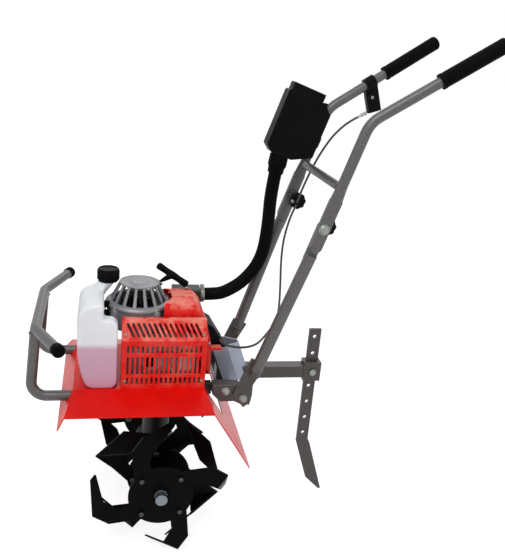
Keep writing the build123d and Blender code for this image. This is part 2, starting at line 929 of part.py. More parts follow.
# Drawbar, its sleeve and the bolt that clamps the stake
with BuildPart() as drawbar:
    add(block(
        (beam_front_x, -half_bar, drawbar_z - half_bar),
        (sleeve_front_x, half_bar, drawbar_z + half_bar),
    ))
save(drawbar.part, "drawbar")
stake_x = sleeve_front_x + sleeve_length / 2
slot_half = stake_thickness / 2 + stake_gap
with BuildPart() as stake_sleeve:
    add(block(
        (sleeve_front_x, -sleeve_width / 2, drawbar_z - sleeve_height / 2),
        (sleeve_front_x + sleeve_length, sleeve_width / 2, drawbar_z + sleeve_height / 2),
    ))
    with BuildSketch(base.offset(drawbar_z - sleeve_height)):
        with Locations((stake_x, 0)):
            Rectangle(stake_width + stake_gap * 2, slot_half * 2)
    extrude(amount=sleeve_height * 2, mode=Mode.SUBTRACT)
    with BuildSketch(side):
        with Locations((stake_x, drawbar_z)):
            Circle(clamp_bolt_r + running_gap)
    extrude(amount=sleeve_width, mode=Mode.SUBTRACT)
save(stake_sleeve.part, "stake_sleeve")
with BuildPart() as clamp_bolt:
    with BuildSketch(side.offset(slot_half)):
        with Locations((stake_x, drawbar_z)):
            Circle(clamp_bolt_r)
    extrude(amount=sleeve_width / 2 - slot_half)
    with BuildSketch(side.offset(sleeve_width / 2)):
        with Locations((stake_x, drawbar_z)):
            RegularPolygon(clamp_head_r, hex_sides)
    extrude(amount=clamp_head)
save(clamp_bolt.part, "stake_clamp_bolt")

# Depth stake: a drilled flat bar, bent to the rear and pointed
half_stake = stake_width / 2
with BuildPart() as depth_stake:
    add(side_plate(
        (
            (stake_x - half_stake, stake_top_z),
            (stake_x + half_stake, stake_top_z),
            (stake_x + half_stake, stake_bend_z + stake_thickness),
            (stake_x + half_stake + stake_thickness, stake_bend_z - stake_thickness),
            (stake_tip_x, -axle_height),
            (stake_tip_x - stake_tip_flat, -axle_height),
            (stake_tip_x - stake_width - half_stake, stake_width + stake_thickness - axle_height),
            (stake_x - half_stake, stake_bend_z),
        ),
        -stake_thickness / 2,
        stake_thickness / 2,
    ))
    with BuildSketch(side):
        for step in range(-stake_holes_down, stake_holes_up + 1):
            with Locations((stake_x, drawbar_z + step * stake_hole_pitch)):
                Circle(stake_hole_r)
    extrude(amount=stake_width, both=True, mode=Mode.SUBTRACT)
save(depth_stake.part, "depth_stake")

# Handles: pivot plates, lower tubes and the folding joints
with BuildPart() as pivot_bolts:
    for name, hand in sides:
        inner = hand * (beam_half_width - pivot_tip)
        outer = hand * (pivot_y + pivot_plate / 2)
        add(tube(((pivot_x, inner, pivot_z), (pivot_x, outer, pivot_z)), pivot_bolt_r))
        add(tube(
            ((pivot_x, outer, pivot_z), (pivot_x, outer + hand * pivot_head, pivot_z)),
            pivot_head_r,
        ))
        inner_end = (bracket_bolt_x, inner, bracket_bolt_z)
        ear_face = (bracket_bolt_x, hand * ear_y, bracket_bolt_z)
        add(tube((inner_end, ear_face), pivot_bolt_r))
        with BuildSketch(side.offset(-hand * ear_y)):
            with Locations((bracket_bolt_x, bracket_bolt_z)):
                RegularPolygon(pivot_head_r, hex_sides)
        extrude(amount=-hand * pivot_head)
save(pivot_bolts.part, "pivot_bolts")


def handle_plate(along_from, along_to, half, y_from, y_to):
    """A flat bar along the handle, drilled for the fold's bolt and round at one end."""
    corners = (
        handle_at(along_from, 0, half),
        handle_at(along_to, 0, half),
        handle_at(along_to, 0, -half),
        handle_at(along_from, 0, -half),
    )
    with BuildPart() as plate:
        with BuildSketch(side.offset(-y_to)):
            with BuildLine():
                Polyline(*((c[0], c[2]) for c in corners), close=True)
            make_face()
            with Locations(handle_at(along_from)[::2]):
                Circle(half)
            with Locations((fold_x, fold_z)):
                Circle(fold_bolt_r + running_gap, mode=Mode.SUBTRACT)
        extrude(amount=y_to - y_from)
    return plate.part


fold_x, fold_z = handle_at(fold_along)[::2]
cheek_inner_y = fold_y - cheek / 2
tongue_outer_y = cheek_inner_y - seat_gap
tongue_inner_y = tongue_outer_y - fold_plate
tube_top = fold_along - fold_clear
cheek_end = fold_along + cheek_reach
round_from = cheek_end + cheek_taper
plate_outline = [
    handle_at(along * pivot_plate_length, 0, forward * pivot_plate_half)
    for along, forward in pivot_plate_shares
]
handle_across = Plane(
    origin=base.from_local_coords(handle_at(cheek_end)),
    x_dir=(0, 1, 0),
    z_dir=(cos(radians(handle_lean)), 0, sin(radians(handle_lean))),
)


def handle_taper(hand, grow=0.0):
    """The run where an upper handle turns from its flat cheek into a round tube."""
    start = handle_at(round_from, hand * handle_y(round_from))
    bend = (bend_x, hand * bend_y, bend_z)
    round_end = Plane(
        origin=base.from_local_coords(start),
        x_dir=(0, 1, 0),
        z_dir=unit(tuple(b - a for a, b in zip(start, bend))),
    )
    with BuildPart() as taper:
        with BuildSketch(handle_across):
            with Locations((hand * fold_y, 0)):
                RectangleRounded(
                    cheek + grow * 2,
                    cheek_half * 2 + grow * 2,
                    cheek / 2 - running_gap,
                )
        with BuildSketch(round_end):
            Circle(upper_tube_r + grow)
        loft()
    return taper.part


for name, hand in sides:
    plate_edges = sorted((
        hand * (pivot_y - pivot_plate / 2),
        hand * (pivot_y + pivot_plate / 2),
    ))
    socket_from = tube_start - socket_length
    lower_run = (
        handle_at(tube_start, hand * handle_y(tube_start)),
        handle_at(tube_top, hand * handle_y(tube_top)),
    )
    with BuildPart() as pivot_plate_piece:
        add(side_plate([(p[0], p[2]) for p in plate_outline], *plate_edges))
        with BuildSketch(side):
            with Locations((pivot_x, pivot_z)):
                Circle(pivot_bolt_r + running_gap)
        extrude(amount=fold_y, both=True, mode=Mode.SUBTRACT)
        add(tube((handle_at(socket_from, hand * handle_y(socket_from)), lower_run[0]), tube_r))
        add(tube(lower_run, tube_r + running_gap), mode=Mode.SUBTRACT)
    save(pivot_plate_piece.part, f"pivot_plate_{name}")

    tongue_edges = sorted((hand * tongue_inner_y, hand * tongue_outer_y))
    with BuildPart() as lower_tube:
        add(tube(lower_run, tube_r))
        add(handle_plate(fold_along, tube_top - tube_r, tube_r, *tongue_edges))
    save(lower_tube.part, f"lower_tube_{name}")

    cheek_edges = sorted((hand * cheek_inner_y, hand * (cheek_inner_y + cheek)))
    with BuildPart() as upper_tube:
        cheek_start = fold_along - cheek_tail + cheek_half
        add(handle_plate(cheek_start, cheek_end, cheek_half, *cheek_edges))
        add(handle_taper(hand))
        add(tube(
            (
                handle_at(round_from, hand * handle_y(round_from)),
                (bend_x, hand * bend_y, bend_z),
                grip_at(grip_run - grip_end_wall, hand),
            ),
            upper_tube_r,
            bend_radius * 2,
        ))
    save(upper_tube.part, f"upper_tube_{name}")

    with BuildPart() as grip:
        add(tube((grip_at(grip_start, hand), grip_at(grip_run, hand)), grip_r))
        add(
            tube(
                (grip_at(grip_start - overrun, hand), grip_at(grip_run - grip_end_wall, hand)),
                upper_tube_r + running_gap,
            ),
            mode=Mode.SUBTRACT,
        )
    save(grip.part, f"grip_{name}")

with BuildPart() as fold_bolts:
    for name, hand in sides:
        outer = hand * (cheek_inner_y + cheek)
        inner = hand * (tongue_inner_y - fold_knob - fold_bolt_tip)
        head = outer + hand * fold_head
        add(tube(((fold_x, inner, fold_z), (fold_x, outer, fold_z)), fold_bolt_r))
        add(tube(((fold_x, outer, fold_z), (fold_x, head, fold_z)), fold_head_r))
save(fold_bolts.part, "fold_bolts")
with BuildPart() as fold_knobs:
    for name, hand in sides:
        outer = hand * (tongue_inner_y - running_gap)
        inner = outer - hand * fold_knob
        knob_x = fold_x + fold_knob_shift
        add(tube(((knob_x, inner, fold_z), (knob_x, outer, fold_z)), fold_knob_r))
        add(
            tube(((fold_x, inner, fold_z), (fold_x, outer, fold_z)), fold_bolt_r + running_gap),
            mode=Mode.SUBTRACT,
        )
save(fold_knobs.part, "fold_knobs")


def handle_block(along_from, along_to, forward_from, forward_to, y_from, y_to):
    """A block set square to the straight handle."""
    corners = (
        handle_at(along_from, 0, forward_from),
        handle_at(along_from, 0, forward_to),
        handle_at(along_to, 0, forward_to),
        handle_at(along_to, 0, forward_from),
    )
    return side_plate([(c[0], c[2]) for c in corners], y_from, y_to)


# Crossbar between the upper tubes, saddled to both
with BuildPart() as crossbar:
    add(tube(
        (
            handle_at(cross_along, -handle_y(cross_along)),
            handle_at(cross_along, handle_y(cross_along)),
        ),
        crossbar_r,
    ))
    for name, hand in sides:
        beyond = handle_y(cross_along) + tube_r
        add(
            handle_block(
                cheek_end,
                bend_along,
                -tube_r,
                tube_r,
                *sorted((hand * handle_y(cross_along), hand * beyond)),
            ),
            mode=Mode.SUBTRACT,
        )
        add(handle_taper(hand, running_gap), mode=Mode.SUBTRACT)
        add(
            tube(
                (
                    handle_at(round_from, hand * handle_y(round_from)),
                    (bend_x, hand * bend_y, bend_z),
                ),
                upper_tube_r + running_gap,
            ),
            mode=Mode.SUBTRACT,
        )
save(crossbar.part, "crossbar")


# Air cleaner: a box and a lid ahead of the right upper tube, held by a clamp
air_box_outline = [
    handle_at(air_box_low + along * air_box_length, 0, air_box_back + forward * air_box_depth)
    for along, forward in air_box_shares
]
air_box_high = air_box_low + air_box_length
with BuildPart() as air_box:
    add(side_plate([(p[0], p[2]) for p in air_box_outline], air_box_left_y, air_box_right_y))
    fillet(air_box.edges().filter_by(Axis.Y), air_box_edge)
save(air_box.part, "air_cleaner_box")
with BuildPart() as air_lid_piece:
    add(handle_block(
        air_box_high,
        air_box_high + air_lid,
        air_box_back + air_lid_back,
        air_box_back + air_box_depth - air_lid_inset,
        air_box_left_y + air_lid_side,
        air_box_right_y - air_lid_side,
    ))
save(air_lid_piece.part, "air_cleaner_lid")
clamp_middle = air_box_low + air_box_length * air_clamp_share
clamp_half = air_clamp_width / 2
with BuildPart() as air_clamp:
    low = clamp_middle - clamp_half
    high = clamp_middle + clamp_half
    add(tube(
        (handle_at(low, handle_y(low)), handle_at(high, handle_y(high))),
        upper_tube_r + air_clamp_wall,
    ))
    add(handle_block(
        low,
        high,
        0,
        air_box_back + air_clamp_width / 2,
        air_box_right_y,
        handle_y(clamp_middle),
    ))
    add(
        tube(
            (
                handle_at(low - overrun, handle_y(low - overrun)),
                handle_at(high + overrun, handle_y(high + overrun)),
            ),
            upper_tube_r + running_gap,
        ),
        mode=Mode.SUBTRACT,
    )
save(air_clamp.part, "air_cleaner_clamp")

# Intake hose, from the box's underside down to the carburettor
hose_top = handle_at(air_box_low, hose_end_y, hose_forward)
hose_points = (
    hose_top,
    (240.0, 98.0, 579.0),
    (241.0, 96.0, 499.0),
    (233.0, 93.0, 421.0),
    (197.0, 88.0, 369.0),
    (153.0, 80.0, 343.0),
    (126.0, hose_foot_y, hose_foot_z),
    (carburettor_rear_x, hose_foot_y, hose_foot_z),
)
cable_points = (
    (452.0, 139.0, 757.0),
    (419.0, 139.0, 738.0),
    (397.0, 138.0, 719.0),
    (375.0, 134.0, 695.0),
    (345.0, 124.0, 648.0),
    (313.0, 98.0, 589.0),
    (303.0, 96.0, 553.0),
    (287.0, 96.0, 508.0),
    (276.0, 90.0, 443.0),
    (279.0, 66.0, 329.0),
    (267.0, 30.0, 294.0),
    (235.0, -10.0, 276.0),
    (205.0, -50.0, 268.0),
    (168.0, -66.0, 268.0),
    (126.0, -62.0, 275.0),
    (124.5, rear_cover_left_y - seat_gap * 2, 276.5),
)


def route_radii(points):
    """The largest tangent arc that each corner's two runs allow."""
    radii = []
    for before, here, after in zip(points, points[1:], points[2:]):
        back = Vector(*before) - Vector(*here)
        ahead = Vector(*after) - Vector(*here)
        turn = full_turn / 2 - back.get_angle(ahead)
        run = min(back.length, ahead.length)
        radii.append(arc_share * run / tan(radians(turn / 2)))
    return radii


def routed_tube(points, radius):
    """A tube along a hand-picked route, with arcs as large as its runs allow."""
    radii = route_radii(points)
    print("route radii", [round(value, 1) for value in radii])
    return tube(points, radius, radii)


hose_way = unit(tuple(b - a for a, b in zip(hose_top, hose_points[1])))
collar_foot = tuple(a + w * hose_collar for a, w in zip(hose_top, hose_way))
with BuildPart() as intake_hose:
    add(routed_tube(hose_points, hose_r))
    add(tube((hose_top, collar_foot), hose_collar_r))
    add(
        side_plate([(p[0], p[2]) for p in air_box_outline], air_box_left_y, air_box_right_y),
        mode=Mode.SUBTRACT,
    )
save(intake_hose.part, "intake_hose")
with BuildPart() as throttle_cable:
    add(routed_tube(cable_points, cable_r))
save(throttle_cable.part, "throttle_cable")

# Throttle: a clamp on the right handle with its lever body hanging below
throttle_from = grip_at(throttle_clamp_along - throttle_clamp_width / 2, 1)
throttle_to = grip_at(throttle_clamp_along + throttle_clamp_width / 2, 1)
throttle_x, throttle_y, throttle_z = grip_at(throttle_clamp_along, 1)
throttle_foot_x = throttle_x + throttle_body_shift
throttle_foot_z = throttle_z - throttle_body_drop
throttle_outline = (
    (throttle_x - throttle_body_half, throttle_z - throttle_body_tilt),
    (throttle_x + throttle_body_half, throttle_z + throttle_body_tilt),
    (throttle_foot_x + throttle_body_half, throttle_foot_z + throttle_body_tilt),
    (throttle_foot_x - throttle_body_half, throttle_foot_z - throttle_body_tilt),
)
with BuildPart() as throttle:
    add(tube((throttle_from, throttle_to), upper_tube_r + throttle_clamp_wall))
    add(side_plate(
        throttle_outline,
        throttle_y - throttle_body_width / 2,
        throttle_y + throttle_body_width / 2,
    ))
    add(
        tube((grip_at(0, 1), grip_at(grip_run, 1)), upper_tube_r + running_gap),
        mode=Mode.SUBTRACT,
    )
save(throttle.part, "throttle_lever")


# Tined reel: two discs of hooked blades on each half of the shaft
def around(radius, turn):
    """A point in the side view at a radius and an angle from the axle."""
    return (radius * cos(radians(turn)), radius * sin(radians(turn)))


def edge_strip(high, low, thickness):
    """A thin strip along the line between two points, thickened toward the arm."""
    way = unit((low[0] - high[0], low[1] - high[1]))
    shift = (way[1] * thickness, -way[0] * thickness)
    return (
        high,
        low,
        (low[0] + shift[0], low[1] + shift[1]),
        (high[0] + shift[0], high[1] + shift[1]),
    )


def blade(turned, arm_shares, wing_shares, reach):
    """One blade with its root on the +X side: an arm in its disc's plane and a bent wing.

    Each place is a share of the axle's height and an angle. The wing is bent toward +Y
    for 1 and toward -Y for -1.
    """
    half = disc_thickness / 2
    arm = [around(axle_height * share, turn) for share, turn in arm_shares]
    wing_tip = [around(axle_height * share, turn) for share, turn in wing_shares]
    view = Plane(origin=(0, 0, 0), x_dir=(1, 0, 0), z_dir=(0, -1, 0))
    with BuildPart() as hook:
        with BuildSketch(view.offset(-half)):
            with BuildLine():
                Polyline(*arm, close=True)
            make_face()
        extrude(amount=disc_thickness)
        for places, shift in ((arm[wing_root_places], -half), (wing_tip, reach)):
            with BuildSketch(view.offset(-turned * shift)):
                with BuildLine():
                    Polyline(*edge_strip(*places, disc_thickness), close=True)
                make_face()
        loft(ruled=True)
    return hook.part


for name, hand in sides:
    rows = (
        (
            disc_y,
            outer_disc_turn,
            blade(-hand, outer_arm_shares, outer_wing_shares, outer_wing_reach),
        ),
        (
            inner_disc_y,
            inner_disc_turn,
            blade(hand, inner_arm_shares, inner_wing_shares, inner_wing_reach),
        ),
    )
    with BuildPart() as reel:
        outer = disc_y + disc_thickness / 2
        hub_start = gearbox_half_width + gearbox_boss_length + overrun
        with BuildSketch(side.offset(-hand * hub_start)):
            Circle(hub_r)
        extrude(amount=hand * (hub_start - outer))
        for y, turn, hook in rows:
            with BuildSketch(side.offset(-hand * y)):
                Circle(disc_r)
            extrude(amount=disc_thickness / 2, both=True)
            for step in range(disc_blades):
                root_turn = turn + full_turn * step / disc_blades
                with Locations(base.location * Location((0, hand * y, 0), (0, -root_turn, 0))):
                    add(hook)
                bolt = around(disc_bolt_circle_r, root_turn)
                with BuildSketch(side.offset(-hand * (y + disc_thickness / 2))):
                    with Locations(bolt):
                        RegularPolygon(disc_bolt_r, hex_sides)
                extrude(amount=-hand * disc_bolt_head)
        with BuildSketch(side):
            Circle(shaft_r + running_gap)
        extrude(amount=disc_y * 2, both=True, mode=Mode.SUBTRACT)
    save(reel.part, f"tine_reel_{name}")

with BuildPart() as axle_shaft:
    with BuildSketch(side):
        Circle(shaft_r)
    extrude(amount=disc_y + disc_thickness / 2, both=True)
    with BuildSketch(side):
        Circle(shaft_end_r)
    extrude(amount=disc_y + disc_thickness / 2 + shaft_end_length, both=True)
save(axle_shaft.part, "axle_shaft")
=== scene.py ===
"""Mini tiller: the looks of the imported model. Laid out as an add-on, run as a script."""
import json
from math import cos, pi, radians, sin

import bmesh
import bpy
from mathutils import Matrix, Vector


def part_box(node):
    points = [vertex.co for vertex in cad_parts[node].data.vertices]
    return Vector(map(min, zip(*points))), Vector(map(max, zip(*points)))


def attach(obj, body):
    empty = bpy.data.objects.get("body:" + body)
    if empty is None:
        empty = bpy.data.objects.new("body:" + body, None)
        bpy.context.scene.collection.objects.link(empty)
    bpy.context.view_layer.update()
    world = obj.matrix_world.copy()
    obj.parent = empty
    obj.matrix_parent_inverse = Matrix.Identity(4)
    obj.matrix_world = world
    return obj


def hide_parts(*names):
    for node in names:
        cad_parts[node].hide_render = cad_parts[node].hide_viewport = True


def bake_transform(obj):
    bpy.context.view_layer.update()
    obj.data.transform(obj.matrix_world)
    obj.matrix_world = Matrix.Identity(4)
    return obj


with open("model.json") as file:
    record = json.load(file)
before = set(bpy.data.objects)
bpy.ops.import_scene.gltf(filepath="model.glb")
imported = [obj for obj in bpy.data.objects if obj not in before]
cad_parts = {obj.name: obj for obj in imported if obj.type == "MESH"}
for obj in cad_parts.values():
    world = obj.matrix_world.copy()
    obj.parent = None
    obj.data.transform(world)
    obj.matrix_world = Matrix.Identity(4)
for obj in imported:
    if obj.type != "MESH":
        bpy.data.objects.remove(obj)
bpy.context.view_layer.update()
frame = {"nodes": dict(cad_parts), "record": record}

bl_info = {
    "name": "Mini tiller",
    "version": (1, 0, 0),
    "blender": (4, 5, 0),
    "location": "3D View > Sidebar > Tiller",
    "description": "Finishes and fittings of a mini tiller around its packed frame",
    "category": "Object",
}

MM = 0.001
OWN = " finish"
SHAFT_LOW, SHAFT_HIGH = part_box("axle_shaft")
AXLE = (SHAFT_LOW + SHAFT_HIGH) / 2
HANDS = (-1, 1)
UP, REARWARD = Vector((0, 0, 1)), Vector((1, 0, 0))
NEAR, AWAY = Vector((0, -1, 0)), Vector((0, 1, 0))
SMOOTH_LIMIT = radians(38)
MERGE = 0.001 * MM

# The handles' line, in millimetres and degrees from the axle's centre
PIVOT_X, PIVOT_Y, PIVOT_Z = 171.4, 110.0, 172.5
HANDLE_LEAN = 72.1
FOLD_ALONG, FOLD_Y = 401.0, 136.0
BEND_ALONG, BEND_Y = 620.0, 132.0
GRIP_LEAN = 33.9
GRIP_START, GRIP_END, GRIP_END_Y = 150.0, 290.0, 149.0
CROSS_ALONG = 487.0
UPPER_TUBE_R = 10.5
WELD_ALONG = 73.0
HOSE_TOP_PLACE = (487.0, 99.0, 73.0)

# Screws: profiles in (share of the height, share of the radius), lengths in millimetres
HEAD_SHARES = ((0, 0), (0, 1), (0.8, 1), (1, 0.86), (1, 0))
FACE_SHARES = ((0, 0), (0, 0.78), (1, 0.7), (1, 0))
FACE_HEIGHT, FACE_SINK = 0.5, 0.2
PAN_SHARES = ((0, 0), (0, 1), (0.35, 0.92), (0.55, 0.6), (0.58, 0.3), (0.3, 0.22), (0.3, 0))
ROD_SHARES = ((0, 0), (0, 1), (1, 1), (1, 0))
WASHER_FLAT, WASHER_TOP, WASHER_SEAT, WASHER_EDGE = 1.2, 1.6, 1.5, 0.6

# Weld beads: waves in (share of the bead's radius, radians for each millimetre)
ROUND_WAVES = ((0.16, 2.1), (0.08, 5.3))
STRAIGHT_WAVES = ((0.2, 1.9),)
STRAIGHT_WELD_R = 1.5


def at(x, y, z):
    """A point given in millimetres from the axle's centre."""
    return AXLE + Vector((x, y, z)) * MM


def handle_at(along, y=0.0, forward=0.0):
    """A point on the straight handle's line, or ahead of it."""
    lean = radians(HANDLE_LEAN)
    x = PIVOT_X + along * cos(lean) - forward * sin(lean)
    return (x, y, PIVOT_Z + along * sin(lean) + forward * cos(lean))


def handle_y(along):
    """How far out the handle's tube lies at a distance from its pivot."""
    if along < FOLD_ALONG:
        return PIVOT_Y + (FOLD_Y - PIVOT_Y) * along / FOLD_ALONG
    return FOLD_Y + (BEND_Y - FOLD_Y) * (along - FOLD_ALONG) / (BEND_ALONG - FOLD_ALONG)


def grip_at(run, hand):
    """A point on the upper handle beyond its bend."""
    bend = Vector(handle_at(BEND_ALONG, BEND_Y))
    lean = radians(GRIP_LEAN)
    end = bend + Vector((GRIP_END * cos(lean), GRIP_END_Y - BEND_Y, GRIP_END * sin(lean)))
    point = bend + (end - bend).normalized() * run
    return (point.x, hand * point.y, point.z)


# Mesh tools

def sides_of(way):
    """Two directions square to a way and to each other."""
    first = way.orthogonal().normalized()
    return first, way.cross(first)


def skinned(bm, rings):
    """Join rings of vertices in a row. A ring of one vertex closes to a point."""
    for low, high in zip(rings, rings[1:]):
        count = max(len(low), len(high))
        for step in range(count if count > 1 else 0):
            after = (step + 1) % count
            if len(low) == 1:
                bm.faces.new((low[0], high[after], high[step]))
            elif len(high) == 1:
                bm.faces.new((low[step], low[after], high[0]))
            else:
                bm.faces.new((low[step], low[after], high[after], high[step]))


def turned(bm, foot, way, profile, steps=32, lobes=0, depth=0.0):
    """Add a turned body. The profile holds (distance, radius) pairs in millimetres."""
    way = Vector(way).normalized()
    first, second = sides_of(way)
    rings = []
    for run, radius in profile:
        middle = foot + way * run * MM
        if radius <= 0:
            rings.append([bm.verts.new(middle)])
            continue
        ring = []
        for step in range(steps):
            angle = 2 * pi * step / steps
            reach = radius * (1 - depth * (1 - cos(lobes * angle)) / 2)
            ring.append(bm.verts.new(
                middle + (first * cos(angle) + second * sin(angle)) * reach * MM
            ))
        rings.append(ring)
    skinned(bm, rings)


def pipe(bm, line, radius, sides):
    """Add a closed tube along a line of points. The radius may follow the run along it."""
    size = radius if callable(radius) else lambda run: radius
    ways = [(b - a).normalized() for a, b in zip(line, line[1:])]
    ways.append(ways[-1])
    across = ways[0].orthogonal().normalized()
    rings = []
    run = 0.0
    for index, (point, way) in enumerate(zip(line, ways)):
        if index:
            run += (point - line[index - 1]).length / MM
            way = (ways[index - 1] + way).normalized()
        across = (across - way * across.dot(way)).normalized()
        other = way.cross(across)
        reach = size(run) * MM
        rings.append([
            bm.verts.new(point + (across * cos(a) + other * sin(a)) * reach)
            for a in (2 * pi * side / sides for side in range(sides))
        ])
    skinned(bm, rings)
    bm.faces.new(list(reversed(rings[0])))
    bm.faces.new(rings[-1])


def straight(start, end, steps):
    """Points spaced evenly from one point to another."""
    return [start + (end - start) * step / steps for step in range(steps + 1)]


def slab(bm, low, high, edge, turn=None):
    """Add a block between two corners in millimetres from the axle, with rounded edges."""
    low, high = Vector(low), Vector(high)
    middle, size = (low + high) / 2, high - low
    place = Matrix.Translation(at(*middle))
    if turn is not None:
        place = place @ turn.to_4x4()
    place = place @ Matrix.Diagonal((*(size * MM), 1))
    made = bmesh.ops.create_cube(bm, size=1, matrix=place)["verts"]
    edges = list({e for v in made for e in v.link_edges})
    bmesh.ops.bevel(bm, geom=edges, offset=edge * MM, segments=3, affect="EDGES", profile=0.5)


def plate(bm, outline, y_from, y_to, edge):
    """Add a plate whose outline lies in the side view, with rounded edges."""
    near = [bm.verts.new(at(x, y_from, z)) for x, z in outline]
    far = [bm.verts.new(at(x, y_to, z)) for x, z in outline]
    made = [bm.faces.new(near), bm.faces.new(list(reversed(far)))]
    for step in range(len(outline)):
        after = (step + 1) % len(outline)
        made.append(bm.faces.new((near[after], near[step], far[step], far[after])))
    bmesh.ops.recalc_face_normals(bm, faces=made)
    edges = list({e for face in made for e in face.edges})
    bmesh.ops.bevel(bm, geom=edges, offset=edge * MM, segments=2, affect="EDGES", profile=0.5)


def weld(bm, line, radius, waves):
    """Add a weld bead along a line, a little uneven."""
    pipe(bm, line, lambda run: radius * (1 + sum(a * sin(run * b) for a, b in waves)), sides=10)


def bead(bm, middle, way, ring_r, bead_r, steps=40):
    """Add a weld bead that runs round a tube."""
    first, second = sides_of(Vector(way).normalized())
    line = []
    for step in range(steps + 1):
        angle = 2 * pi * step / steps
        line.append(middle + (first * cos(angle) + second * sin(angle)) * ring_r * MM)
    weld(bm, line, bead_r, ROUND_WAVES)


def scaled(shares, height, radius):
    """A profile from shares of a height and a radius."""
    return [(along * height, out * radius) for along, out in shares]


def spanned(bm, start, end, points, steps=32):
    """Add a turned body from start to end. Each point is (share of the run, way on, radius)."""
    run = (end - start).length / MM
    turned(bm, start, end - start, [(share * run + on, out) for share, on, out in points], steps)


def rod(bm, foot, way, radius, length, steps=20):
    """Add a plain pin or shank."""
    turned(bm, foot, way, scaled(ROD_SHARES, length, radius), steps)


def hex_bolt(bm, seat, way, radius, height, washer=0.0):
    """Add a hexagon head with a worn chamfer, and its washer."""
    along = Vector(way).normalized() * MM
    if washer:
        turned(bm, seat, way, (
            (0, 0), (0, washer), (WASHER_FLAT, washer), (WASHER_TOP, washer - WASHER_EDGE),
            (WASHER_TOP, 0)), steps=28)
        seat = seat + along * WASHER_SEAT
    turned(bm, seat, way, scaled(HEAD_SHARES, height, radius), steps=6)
    top = seat + along * (height - FACE_SINK)
    turned(bm, top, way, scaled(FACE_SHARES, FACE_HEIGHT, radius), steps=24)


def pan_screw(bm, seat, way, radius):
    """Add a pan head with a crossed recess."""
    turned(bm, seat, way, scaled(PAN_SHARES, radius, radius), steps=20)


def smooth_route(points, resolution=48):
    """The points of one smooth line that is steered by the points of a route."""
    curve = bpy.data.curves.new("route", "CURVE")
    curve.dimensions = "3D"
    spline = curve.splines.new("NURBS")
    spline.points.add(len(points) - 1)
    for handle, point in zip(spline.points, points):
        handle.co = (*point, 1)
    spline.order_u = 3
    spline.use_endpoint_u = True
    spline.resolution_u = resolution
    carrier = bpy.data.objects.new("route", curve)
    mesh = bpy.data.meshes.new_from_object(carrier)
    line = [v.co.copy() for v in mesh.vertices]
    bpy.data.objects.remove(carrier)
    bpy.data.curves.remove(curve)
    bpy.data.meshes.remove(mesh)
    return line


def softened(node, voxel, rounds):
    """The mesh of a CAD piece with its edges rounded off."""
    copy = bpy.data.objects.new("softened", frame["nodes"][node].data.copy())
    bpy.context.scene.collection.objects.link(copy)
    grid = copy.modifiers.new("grid", "REMESH")
    grid.mode = "VOXEL"
    grid.voxel_size = voxel * MM
    even = copy.modifiers.new("even", "SMOOTH")
    even.factor = 0.5
    even.iterations = rounds
    ready = copy.evaluated_get(bpy.context.evaluated_depsgraph_get())
    mesh = bpy.data.meshes.new_from_object(ready)
    bm = bmesh.new()
    bm.from_mesh(mesh)
    bpy.data.objects.remove(copy)
    bpy.data.meshes.remove(mesh)
    return bm


def put(name, bm, finish, body="root", replaced=()):
    """Turn a finished mesh into a piece with its finish, its body and what it stands for."""
    bmesh.ops.remove_doubles(bm, verts=bm.verts, dist=MERGE)
    bmesh.ops.recalc_face_normals(bm, faces=bm.faces)
    for edge in bm.edges:
        edge.smooth = len(edge.link_faces) == 2 and edge.calc_face_angle(0) < SMOOTH_LIMIT
    for face in bm.faces:
        face.smooth = True
    mesh = bpy.data.meshes.new(name)
    bm.to_mesh(mesh)
    bm.free()
    piece = bpy.data.objects.new(name, mesh)
    bpy.context.scene.collection.objects.link(piece)
    mesh.materials.append(bpy.data.materials[finish + OWN])
    if body:
        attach(piece, body)
    if replaced:
        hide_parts(*replaced)
    return piece


# Shader groups

BEVEL_SAMPLES = 4
WEAR_BAND = (0.02, 0.09)
BROAD_BAND = (0.3, 0.7)
FLECK_BAND = (0.36, 0.64)
LEVEL_BAND = (0.2, 1.0, 0.1, 1.0)
CLOUD_BAND = (0.42, 0.7)
SCRATCH_BAND = (0.58, 0.68)
SCRATCH_STRETCH, SCRATCH_TURN = (1.0, 14.0, 14.0), (0.2, 0.9, 0.4)
FLECK_SCALE = 1.7


def feed(tree, socket, value):
    """Give a shader socket a number, a colour or what another socket sends."""
    if isinstance(value, bpy.types.NodeSocket):
        tree.links.new(value, socket)
    elif isinstance(value, tuple):
        socket.default_value = (*value, 1)
    else:
        socket.default_value = value


def make_group(name, inputs, outputs):
    """A shader group with named sockets, and its two ends."""
    group = bpy.data.node_groups.new(name, "ShaderNodeTree")
    for label, value in inputs:
        socket = group.interface.new_socket(label, in_out="INPUT", socket_type="NodeSocketFloat")
        socket.default_value = value
    for label in outputs:
        group.interface.new_socket(label, in_out="OUTPUT", socket_type="NodeSocketFloat")
    start, end = (group.nodes.new(f"NodeGroup{kind}") for kind in ("Input", "Output"))
    return group, start.outputs, end.inputs


def maths(tree, operation, first, second, clamp=False):
    """A Math node fed by sockets or numbers."""
    node = tree.nodes.new("ShaderNodeMath")
    node.operation = operation
    node.use_clamp = clamp
    feed(tree, node.inputs[0], first)
    feed(tree, node.inputs[1], second)
    return node.outputs[0]


def ranged(tree, value, low, high, to_low=0.0, to_high=1.0):
    """A value mapped from one range to another and held inside it."""
    node = tree.nodes.new("ShaderNodeMapRange")
    for socket, given in zip(node.inputs, (value, low, high, to_low, to_high)):
        feed(tree, socket, given)
    return node.outputs[0]


def noise(tree, place, scale, detail=4.0, rough=0.55):
    """A noise value in the object's own space."""
    node = tree.nodes.new("ShaderNodeTexNoise")
    node.inputs["Detail"].default_value = detail
    node.inputs["Roughness"].default_value = rough
    feed(tree, node.inputs["Vector"], place)
    feed(tree, node.inputs["Scale"], scale)
    return node.outputs["Fac"]


